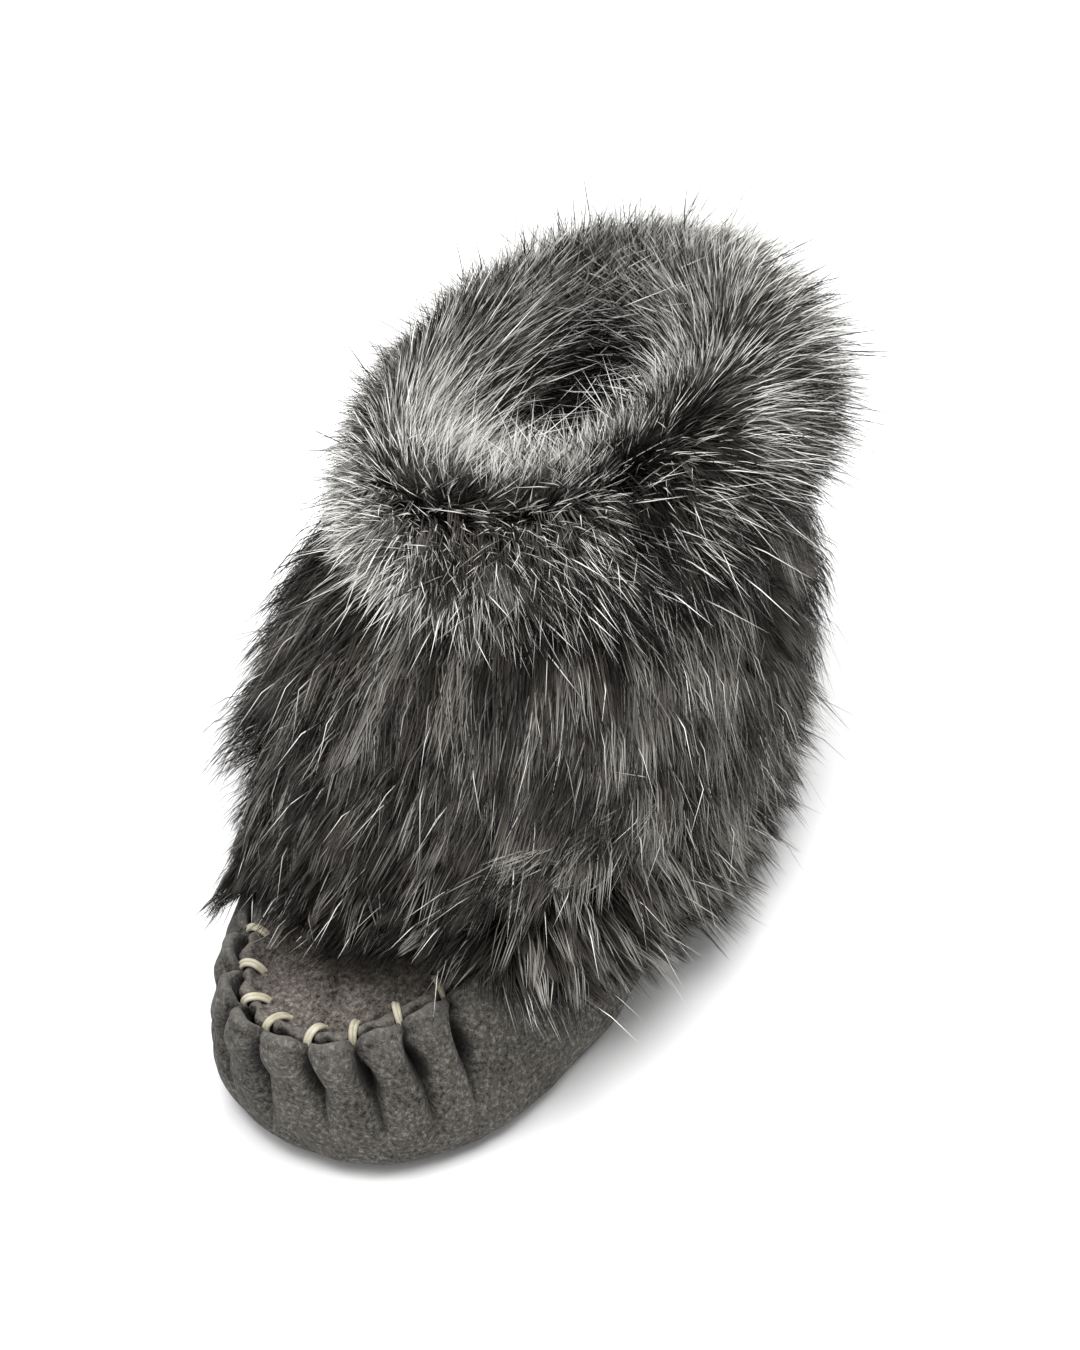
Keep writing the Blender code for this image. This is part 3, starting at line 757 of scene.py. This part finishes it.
def build_stitching():
    """The whip stitches, each of doubled cord whose two strands lie side by side with a slight turn."""
    rng = np.random.default_rng(STITCH_SEED)
    curve = bpy.data.curves.new("toe_stitching", "CURVE")
    curve.dimensions = "3D"
    curve.bevel_depth = STRAND_RADIUS
    curve.bevel_resolution = 3
    curve.use_fill_caps = True
    for t in CREASES:
        points = stitch_path(t, rng.uniform(-0.1, 0.35) * MM)
        path = smooth_between(points, np.linspace(0, len(points) - 1, STITCH_STEPS))
        ways = unit(np.gradient(path, axis=0))
        flat = unit(np.cross(ways, plan_normal(t) * 0.3 + UP))
        lift = np.cross(flat, ways)
        start = rng.uniform(-0.5, 0.3)
        for strand in (0, 1):
            turns = start + np.linspace(0, 0.9, len(path)) + strand * math.pi
            offset = flat * np.cos(turns)[:, None] + lift * np.sin(turns)[:, None]
            spline = curve.splines.new("POLY")
            spline.points.add(len(path) - 1)
            places = path + offset * STRAND_OFFSET
            for point, place, share in zip(spline.points, places, np.linspace(0, 1, len(path))):
                point.co = (*place, 1)
                point.radius = 0.72 + 0.30 * math.sin(math.pi * share)
            spline.use_smooth = True
    drawn = placed("toe_stitching_curve", curve)
    mesh = bpy.data.meshes.new_from_object(drawn)
    bpy.data.objects.remove(drawn)
    mesh.materials.clear()
    mesh.materials.append(thread_material())
    mesh.shade_smooth()
    piece = placed("toe_stitching", mesh)
    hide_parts(*[f"toe_stitch_{i + 1:02d}" for i in range(len(CREASES))])
    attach(piece, "root")


# Fur. The same edge and body as the solids of the two tiers
FUR_SEED = 7
FUR_EDGE_FRONT = 5.45
FUR_EDGE_CORNER = 0.35
FUR_EDGE_DROPS = ((38.0, 66.0, 2.1), (60.0, 110.0, 1.0))
TIER_SHARES = (0.0, 0.13, 0.31, 0.50, 0.69, 0.86, 1.0)
TIER_DEPTHS = np.array((0.34, 0.46, 0.74, 0.96, 1.0, 0.85, 0.34)) * 9.5 * MM
MAT_SHARE = 0.5
MAT_ROWS = 24
MAT_COLUMNS = 97
MAT_THICKNESS = 1.0 * MM
TIER_TOP = 8.3
# Hairs stay this far above the floor and this near the middle of the shoe on its right side
FLOOR_CLEARANCE = 0.4 * MM
SIDE_REACH = 52 * MM
# Share of a lock's width at the roots that is left at its tips
LOCK_WIDTH = 0.3
THREE_STEPS = np.array((0.0, 0.34, 0.68, 1.0))
TWO_STEPS = np.array((0.0, 0.5, 1.0))


def fur_edge(t):
    """Ring coordinate of the lower tier's edge: on the plug in front, low on the wall round the quarters."""
    corner = smooth_step(0.3, 0.75, wrapped(t)) * (1 - smooth_step(0.85, 1.15, wrapped(t)))
    ring = FUR_EDGE_FRONT - FUR_EDGE_CORNER * corner
    for start, end, drop in FUR_EDGE_DROPS:
        ring = ring - drop * smooth_step(math.radians(start), math.radians(end), wrapped(t))
    return ring


def tier_skin(t, share):
    """A place on the lower tier's mat, from its hem, share 0, to under the cuff, share 1, and the way out."""
    r = fur_edge(t) + (TIER_TOP - fur_edge(t)) * share
    depth = np.maximum(np.interp(share, TIER_SHARES, TIER_DEPTHS) * MAT_SHARE, FUR_GAP)
    return skin_point(t, r, depth), last_normal(t, r)


def scatter(rng, count, place):
    """Angles and shares spread evenly over a skin, which place gives for an angle and a share."""
    found, total = [], 0
    while total < count:
        t, share = rng.uniform(-math.pi, math.pi, count), rng.uniform(0, 1, count)
        along = place(t + 0.01, share)[0] - place(t - 0.01, share)[0]
        above = place(t, share + 0.01)[0] - place(t, share - 0.01)[0]
        area = np.linalg.norm(np.cross(along, above), axis=-1)
        keep = rng.uniform(0, np.percentile(area, 99.0), count) < area
        found.append(np.stack((t[keep], share[keep]), axis=-1))
        total += keep.sum()
    places = np.concatenate(found)[:count]
    return places[:, 0], places[:, 1]


def nearest_locks(rng, roots, lock_count):
    """The lock that each hair belongs to, and the hair that leads each lock."""
    leaders = rng.choice(len(roots), lock_count, replace=False)
    tree = KDTree(lock_count)
    for i, leader in enumerate(leaders):
        tree.insert(roots[leader], i)
    tree.balance()
    return np.array([tree.find(root)[1] for root in roots]), leaders


def turned(comb, out, angle):
    """A comb direction turned about the way out of the skin."""
    side = np.cross(out, comb)
    return comb * np.cos(angle)[:, None] + side * np.sin(angle)[:, None]


def comb_hairs(roots, out, comb, lengths, rise, fall, stations):
    """Bent hairs: each leaves its skin at an angle rise and turns to the angle fall along its comb."""
    points = [roots]
    for start, end in zip(stations, stations[1:]):
        angle = (rise + (fall - rise) * (start + end) / 2)[:, None]
        way = comb * np.cos(angle) + out * np.sin(angle)
        points.append(points[-1] + way * (lengths * (end - start))[:, None])
    return np.stack(points, axis=1)


def draw_together(paths, lock, leaders, strength, stations):
    """Draws the hairs of a lock together towards their tips, so that they hang in points, and holds them
    above the floor and within the reach on the right."""
    roots, heads = paths[:, 0], paths[leaders, 0][lock]
    lead = paths[leaders][lock]
    for k in range(1, paths.shape[1]):
        goal = lead[:, k] + (roots - heads) * LOCK_WIDTH
        share = np.clip(strength * stations[k] ** 1.3, 0, 0.95)[:, None]
        paths[:, k] = paths[:, k] * (1 - share) + goal * share
    paths[..., 2] = np.maximum(paths[..., 2], FLOOR_CLEARANCE)
    beyond = np.maximum(paths[:, -1, 0] - roots[:, 0], 0.1 * MM)
    held = np.clip((SIDE_REACH - roots[:, 0]) / beyond, 0.3, 1)[:, None, None]
    paths[:] = roots[:, None, :] + (paths - roots[:, None, :]) * held


def hair_piece(name, rng, paths, out, width, tones, stations, finish, facing):
    """One joined mesh of flat, tapered hairs whose broad side mostly faces outwards."""
    count, steps = len(paths), paths.shape[1] - 1
    way = unit(paths[:, -1] - paths[:, 0])
    side = unit(np.cross(way, out + rng.normal(0, facing, (count, 3))))
    taper = np.array((0.6, 0.9, 1.0) if steps > 2 else (0.9, 1.0))
    half = (rng.uniform(*width, count) * MM)[:, None] * taper[None, :] / 2
    breadth = side[:, None, :] * half[..., None]
    pairs = np.stack((paths[:, :-1] - breadth, paths[:, :-1] + breadth), axis=2)
    verts = np.concatenate((pairs.reshape(count, -1, 3), paths[:, -1:]), axis=1)
    corners, starts, across, along = [], [], [], []
    for k in range(steps - 1):
        starts.append(len(corners))
        corners += [2 * k, 2 * k + 1, 2 * k + 3, 2 * k + 2]
        across += [-1, 1, 1, -1]
        along += [stations[k], stations[k], stations[k + 1], stations[k + 1]]
    starts.append(len(corners))
    corners += [2 * steps - 2, 2 * steps - 1, 2 * steps]
    across += [-1, 1, 0]
    along += [stations[steps - 1], stations[steps - 1], 1.0]
    hairs = np.arange(count)[:, None]
    corner_list = np.array(corners) + hairs * (2 * steps + 1)
    start_list = np.array(starts) + hairs * len(corners)
    mesh = bpy.data.meshes.new(name)
    mesh.vertices.add(verts.shape[0] * verts.shape[1])
    mesh.vertices.foreach_set("co", verts.ravel().astype(np.float32))
    mesh.loops.add(count * len(corners))
    mesh.loops.foreach_set("vertex_index", corner_list.ravel().astype(np.int32))
    mesh.polygons.add(count * steps)
    mesh.polygons.foreach_set("loop_start", start_list.ravel().astype(np.int32))
    mesh.update(calc_edges=True)
    u = np.clip(tones, 0.01, 0.99)[:, None] + np.array(across)[None] * 0.004
    v = np.broadcast_to(0.01 + 0.98 * np.array(along)[None], u.shape)
    layer = mesh.uv_layers.new(name="OFBake")
    layer.data.foreach_set("uv", np.stack((u, v), axis=-1).ravel().astype(np.float32))
    mesh.shade_smooth()
    mesh.materials.append(finish)
    piece = placed(name, mesh)
    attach(piece, "root")


WHORL = np.array((27.0, 31.0, 50.0)) * MM
WHORL_SIZE = 9 * MM
CORNER_COMB = np.array((0.8, -1.1, -1.0))
# A lock's own lie and tone vary between these many spreads
LOCK_RANGE = (-1.8, 1.6)
PATCH_SIZE = 11 * MM


def pushed_from(way, places, centre, size, strength):
    """Directions turned away from a centre near it, and how near each is."""
    away = places - centre
    near = np.exp(-(away**2).sum(axis=-1) / size**2)[:, None]
    return unit(way + unit(away) * near * strength), near


def lower_tier(rng, name, count, locks, length, width, loose, tone, finish, pull=0.0,
               stations=THREE_STEPS, stray=0.0):
    """Hairs of the lower tier, combed down over the vamp, the rear of the plug and the quarters."""
    t, share = scatter(rng, count, tier_skin)
    roots, out = tier_skin(t, share)
    lock, leaders = nearest_locks(rng, roots, locks)
    each = np.clip(rng.normal(0, 1, (locks, 4)), *LOCK_RANGE)[lock]
    comb = tier_skin(t, share - 0.05)[0] - tier_skin(t, share + 0.05)[0]
    comb = laid(comb, out)
    low = 1 - smooth_step(0.2, 0.6, share)
    forward = smooth_step(0.25, 0.6, -t) * smooth_step(1.9, 1.2, -t) * low
    comb = unit(comb + CORNER_COMB * forward[:, None])
    comb = laid(comb, out)
    swirl = soft_noise(roots, 26 * MM, 21) * 0.16 + each[:, 0] * 0.13 + rng.normal(0, loose, count)
    comb, near = pushed_from(turned(comb, out, swirl), roots, WHORL, WHORL_SIZE, 2.0)
    comb = laid(comb, out)
    near = near[:, 0]
    right, left = (smooth_step(0.95, 1.35, way * t) * smooth_step(3.0, 2.2, way * t) for way in (1, -1))
    corner = smooth_step(0.25, 0.7, wrapped(t)) * smooth_step(1.15, 0.95, wrapped(t))
    reach = 0.60 + 0.40 * smooth_step(0.0, 0.45, share) + (0.12 * right - 0.08 * left + 0.16 * corner) * low
    reach -= 0.30 * forward + (0.2 if stations is TWO_STEPS else 0.50) * near
    lengths = length * MM * reach * (1 + 0.10 * each[:, 1]) * rng.uniform(0.80, 1.12 + stray, count)
    rise = np.radians(48 + 32 * smooth_step(0.05, 0.5, share) - 18 * left * low - 38 * forward)
    rise += each[:, 2] * 0.10 + rng.normal(0, loose, count)
    spread = 22 * smooth_step(0.35, 0.8, share) * np.abs(np.sin(t))
    spread += (12 * right - 22 * left) * low - 14 * forward
    fall = np.radians(8 - 14 * smooth_step(0.2, 0.7, share) + spread) + rng.normal(0, 0.12 + loose / 2, count)
    paths = comb_hairs(roots, out, comb, lengths, rise, fall, stations)
    hem = 1 - smooth_step(0.15, 0.5, share)
    draw_together(paths, lock, leaders, pull * (1 + 0.5 * hem) * (1 + 0.3 * each[:, 3]), stations)
    mean, by_lock, by_hair, broad, hem_shade = tone
    tones = mean + by_lock * each[:, 3] + by_hair * rng.normal(0, 1, count)
    tones += broad * soft_noise(roots, PATCH_SIZE, 41)
    # Painted shade: the hair is darker towards the hem at the bottom of the tier
    hem = 1 - smooth_step(0.05, 0.42, share)
    # Darker at the whorl, partly its own darker hair and partly painted shade in the gap under the cuff;
    # lighter on the right side, painted light
    tones += hem_shade * hem - 0.45 * near**2 + 0.16 * smooth_step(0.5, 1.0, np.sin(t))
    hair_piece(name, rng, paths, out, width, tones, stations, finish, facing=2.5 * loose)


ROLL_OUT = 4.0 * MM
ROLL_UP = 9.5 * MM
ROLL_IN = 5.0 * MM
ROLL_DOWN = 7.0 * MM
ROLL_RING = 8.62
ROLL_START = math.radians(-70)
ROLL_END = math.radians(215)
CUFF_MIDDLE = np.array((3.0, 33.0, 74.0)) * MM
CUFF_LEAN = np.array((0.36, 0.12, 0.04))
HIGH_SIDE = math.radians(125)
PARTING = np.array((0.0, 4.0, 75.0)) * MM
PARTING_SIZE = 2.2 * MM
PALE_PATCH = np.array((-12.0, 4.0, 71.0)) * MM
PALE_SIZE = 13 * MM
# The cuff pales from one height to the other
PALE_HEIGHTS = (64 * MM, 84 * MM)


def roll_skin(t, share):
    """A place on the cuff's roll and the way out of it, from its outer hem, share 0, over its crown and down
    inside the shaft, share 1. The roll slumps on the side away from its high side."""
    high = 0.5 + 0.5 * np.cos(t - HIGH_SIDE)
    line, out = last_point(t, ROLL_RING), last_normal(t, ROLL_RING)
    out[..., 2] = 0
    out = unit(out)
    up = unit(last_point(t, COLLAR_RING) - last_point(t, COLLAR_RING - 0.7))
    turn = ROLL_START + (ROLL_END - ROLL_START) * share
    across, height = np.cos(turn), np.sin(turn)
    wide = np.where(across > 0, ROLL_OUT * (0.55 + 0.55 * high), ROLL_IN)
    tall = np.where(height > 0, ROLL_UP * (0.55 + 0.5 * high), ROLL_DOWN)
    place = line + out * (across * wide)[..., None] + up * (height * tall)[..., None]
    return place, unit(out * (across / wide)[..., None] + up * (height / tall)[..., None])


def cuff_tier(rng, name, count, locks, length, width, loose, tone, finish, pull=0.0,
              stations=THREE_STEPS, stray=0.0, bend=45.0):
    """Hairs of the cuff: fanned out round its roll, falling outside, and leaning into the shaft inside."""
    t, share = scatter(rng, count, roll_skin)
    roots, way = roll_skin(t, share)
    lock, leaders = nearest_locks(rng, roots, locks)
    each = np.clip(rng.normal(0, 1, (locks, 4)), *LOCK_RANGE)[lock]
    inside = smooth_step(0.50, 0.66, share)
    outside = 1 - inside
    out = roots - CUFF_MIDDLE
    out[:, 2] = 0
    out = unit(out)
    along = np.cross(UP, out)
    crown = np.exp(-((share - 0.42) / 0.16) ** 2) * (0.5 + 0.5 * np.cos(t))
    ruffle = loose * (1 + 0.8 * crown)
    drift = soft_noise(roots, 24 * MM, 31) * (0.28 - 0.16 * inside)
    drift += 0.34 * outside * soft_noise(roots, 8 * MM, 37)
    drift += each[:, 0] * 0.16 + rng.normal(0, 1, count) * ruffle
    way = way + along * drift[:, None] + CUFF_LEAN * (0.5 + 0.5 * outside)[:, None]
    lift = 0.28 * outside * soft_noise(roots, 9 * MM, 39) + each[:, 1] * 0.14
    way[:, 2] += lift + rng.normal(0, 1, count) * ruffle + 0.55 * inside - 0.25 * crown
    way, near = pushed_from(unit(way), roots, WHORL, WHORL_SIZE * 1.5, 2.2)
    way, parted = pushed_from(way, roots, PARTING, PARTING_SIZE, 1.6)
    comb = out * (0.5 * outside - 0.1 * inside)[:, None] + along * drift[:, None] * 0.5 + CUFF_LEAN * 0.5
    comb[:, 2] -= 0.85 * outside * (1 - smooth_step(0.25, 0.5, share)) - 0.2 * inside
    comb, _ = pushed_from(comb, roots, WHORL, WHORL_SIZE * 1.5, 1.0)
    comb = laid(comb, way)
    high = 0.5 + 0.5 * np.cos(t - HIGH_SIDE)
    right = np.sin(t)
    shy = 0.3 if stations is TWO_STEPS else 0.8
    reach = outside * (0.70 + 0.42 * high) + inside * (1.05 - 0.30 * right)
    reach *= (1 - shy * near[:, 0]) * (1 - 0.30 * np.clip(way[:, 2], 0, 1))
    lengths = length * MM * reach * (1 + 0.12 * each[:, 2]) * rng.uniform(0.72, 1.14 + stray, count)
    rise = np.full(count, math.radians(90.0)) + rng.normal(0, 0.10, count)
    fall = rise - np.radians(bend * (1 - 0.4 * inside)) + rng.normal(0, 0.16, count)
    paths = comb_hairs(roots, way, comb, lengths, rise, fall, stations)
    draw_together(paths, lock, leaders, pull * (1 + 0.3 * each[:, 3]), stations)
    mean, by_lock, by_hair, broad, inner = tone
    tones = mean + by_lock * each[:, 3] + by_hair * rng.normal(0, 1, count)
    tones += broad * soft_noise(roots, PATCH_SIZE, 43)
    # Darker at the whorl, partly its own hair and partly painted shade in the gap under the hem, and darker
    # in the parting, painted shade
    tones += 0.22 * smooth_step(*PALE_HEIGHTS, roots[:, 2]) - 0.6 * near[:, 0] - 0.35 * parted[:, 0]
    tones += inner * inside - 0.07 * outside * smooth_step(0.3, 0.8, np.cos(t))
    pale = np.exp(-((roots - PALE_PATCH) ** 2).sum(axis=-1) / PALE_SIZE**2)
    # The right side outside is darker: painted shade
    tones += 0.38 * pale - 0.13 * smooth_step(0.4, 0.9, right) * outside
    # Painted shade: darker deep inside the shaft
    tones -= 0.18 * smooth_step(0.72, 0.95, share)
    hair_piece(name, rng, paths, way, width, tones, stations, finish, facing=2.0 * loose)


def mat_material():
    finish, shader, make, link = new_material("underfur and painted shade at the skin", 1.0, Specular_IOR_Level=0.05)
    fluff = textured(make, link, Scale=900.0, Detail=4.0)
    # Near-black: partly the underfur's own colour, partly painted shade
    greys = ((0.3, (0.004, 0.004, 0.004)), (0.7, (0.018, 0.016, 0.015)))
    link(ramp(make, link, fluff, greys), shader.inputs["Base Color"])
    bumped(make, link, shader, fluff, 1.0, 0.5 * MM)
    return finish


def build_mats():
    """The dense dark mats of underfur on the skin, which close the fur behind its hairs; their near-black
    colour is partly the underfur's own dark base, partly painted shade deep between the hairs.
    """
    t = np.linspace(-math.pi, math.pi, MAT_COLUMNS)
    finish = mat_material()
    for name, place, node in (("lower_tier_mat", tier_skin, "vamp_fur"), ("cuff_mat", roll_skin, "cuff_fur")):
        rows = [place(t, np.full(t.shape, share))[0] for share in np.linspace(0, 1, MAT_ROWS)]
        piece = skin_from_rows(name, rows, np.full((MAT_ROWS, MAT_COLUMNS), 0.5), finish)
        add_wall(piece, MAT_THICKNESS)
        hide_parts(node)
        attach(piece, "root")


def build_fur():
    """Soft underfur, stiff guard hairs and strays for both tiers, their lengths and widths in mm. The tones
    are a mean, its spread by lock, by hair and over patches, and what the painted shade at the hem or the
    inside adds."""
    rng = np.random.default_rng(FUR_SEED)
    lower_tier(rng, "lower_tier_underfur", count=64000, locks=2600, length=16.0, width=(0.16, 0.26),
               loose=0.08, tone=(0.38, 0.13, 0.03, 0.18, -0.42), finish=UNDERFUR, pull=0.50,
               stations=TWO_STEPS)
    lower_tier(rng, "lower_tier_guard_hair", count=34000, locks=3000, length=19.0, width=(0.12, 0.20),
               loose=0.15, tone=(0.40, 0.17, 0.14, 0.13, -0.08), finish=SILVER, pull=0.42)
    lower_tier(rng, "lower_tier_strays", count=1300, locks=1250, length=20.0, width=(0.08, 0.13),
               loose=0.22, tone=(0.34, 0.2, 0.2, 0.0, 0.0), finish=WHITE_TIPPED, stray=0.2)
    cuff_tier(rng, "cuff_underfur", count=64000, locks=2600, length=12.5, width=(0.16, 0.26), loose=0.12,
              tone=(0.40, 0.08, 0.03, 0.15, 0.02), finish=UNDERFUR, pull=0.40, stations=TWO_STEPS)
    cuff_tier(rng, "cuff_guard_hair", count=34000, locks=6000, length=16.0, width=(0.10, 0.16), loose=0.34,
              tone=(0.36, 0.11, 0.12, 0.12, -0.02), finish=WHITE_TIPPED, pull=0.12, bend=18.0)
    cuff_tier(rng, "cuff_strays", count=3000, locks=2900, length=18.5, width=(0.10, 0.17), loose=0.45,
              tone=(0.5, 0.2, 0.25, 0.0, 0.0), finish=WHITE_TIPPED, stray=0.25, bend=12.0)


# Pelt and insole, which keep their solids


def finish_inside():
    """The pelt's skin side and the fleece sock, on their own solids."""
    for node, name, dark, light, scale, depth in (
        ("ankle_upper", "pelt leather", (0.20, 0.165, 0.135), (0.46, 0.40, 0.34), 260.0, 0.15 * MM),
        ("insole", "fleece", (0.26, 0.245, 0.23), (0.55, 0.53, 0.50), 1100.0, 0.9 * MM),
    ):
        finish, shader, make, link = new_material(name, 0.95, Sheen_Weight=0.3, Specular_IOR_Level=0.15)
        broad = textured(make, link, Scale=scale, Detail=5.0, Roughness=0.6)
        fine = textured(make, link, "Voronoi", "Distance", Scale=scale * 4)
        link(ramp(make, link, broad, ((0.3, dark), (0.7, light))), shader.inputs["Base Color"])
        bumped(make, link, shader, fine, 0.8, depth)
        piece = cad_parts[node]
        for slot in piece.material_slots:
            slot.material = finish


# Camera, floor and light

# Degrees round the shoe from its toe, above the floor, and of roll
CAMERA_TURN = 32.5
CAMERA_HEIGHT = 38.5
CAMERA_ROLL = 7.0
CAMERA_DISTANCE = 420 * MM
PIXELS_PER_MM = 6.72
PICTURE_HEIGHT = 1350
SENSOR = 36
AIM = Vector((0.0, 0.0, 40 * MM))
AIM_RIGHT = 9.3 * MM
AIM_UP = 5.2 * MM


def set_camera():
    turn, height, roll = (math.radians(value) for value in (CAMERA_TURN, CAMERA_HEIGHT, CAMERA_ROLL))
    back = Vector((math.sin(turn) * math.cos(height), -math.cos(turn) * math.cos(height), math.sin(height)))
    right = Vector((math.cos(turn), math.sin(turn), 0))
    up = back.cross(right)
    level = right * math.cos(roll) - up * math.sin(roll)
    upright = right * math.sin(roll) + up * math.cos(roll)
    lens = bpy.data.cameras.new("camera")
    lens.sensor_width = SENSOR
    lens.lens = SENSOR * PIXELS_PER_MM * CAMERA_DISTANCE / MM / PICTURE_HEIGHT
    camera = placed("camera", lens)
    place = Matrix((level, upright, back)).transposed().to_4x4()
    place.translation = AIM + level * AIM_RIGHT + upright * AIM_UP + back * CAMERA_DISTANCE
    camera.matrix_world = place
    bpy.context.scene.camera = camera


def set_floor():
    bm = bmesh.new()
    bmesh.ops.create_grid(bm, x_segments=1, y_segments=1, size=2.5)
    finish, shader, *_ = new_material("pale floor", 0.9, Specular_IOR_Level=0.2)
    shader.inputs["Base Color"].default_value = (0.93, 0.93, 0.93, 1)
    floor = finished("floor", bm, finish)


def soft_light(name, place, size, power):
    lamp = bpy.data.lights.new(name, "AREA")
    lamp.size = size
    lamp.energy = power
    light = placed(name, lamp)
    light.location = place
    light.rotation_euler = (-Vector(place)).to_track_quat("-Z", "Y").to_euler()


def set_light():
    world = bpy.data.worlds.new("studio")
    world.use_nodes = True
    sky = world.node_tree.nodes["Background"]
    sky.inputs["Color"].default_value = (1, 1, 1, 1)
    sky.inputs["Strength"].default_value = 0.62
    bpy.context.scene.world = world
    soft_light("top light", place=(0.18, -0.1, 1.2), size=0.9, power=22)
    soft_light("left light", place=(-1.0, -0.35, 0.9), size=0.5, power=2)
    bpy.context.scene.view_settings.view_transform = "Standard"


set_camera()
set_floor()
set_light()
build_hide()
build_plug()
build_stitching()
finish_inside()
build_mats()
build_fur()
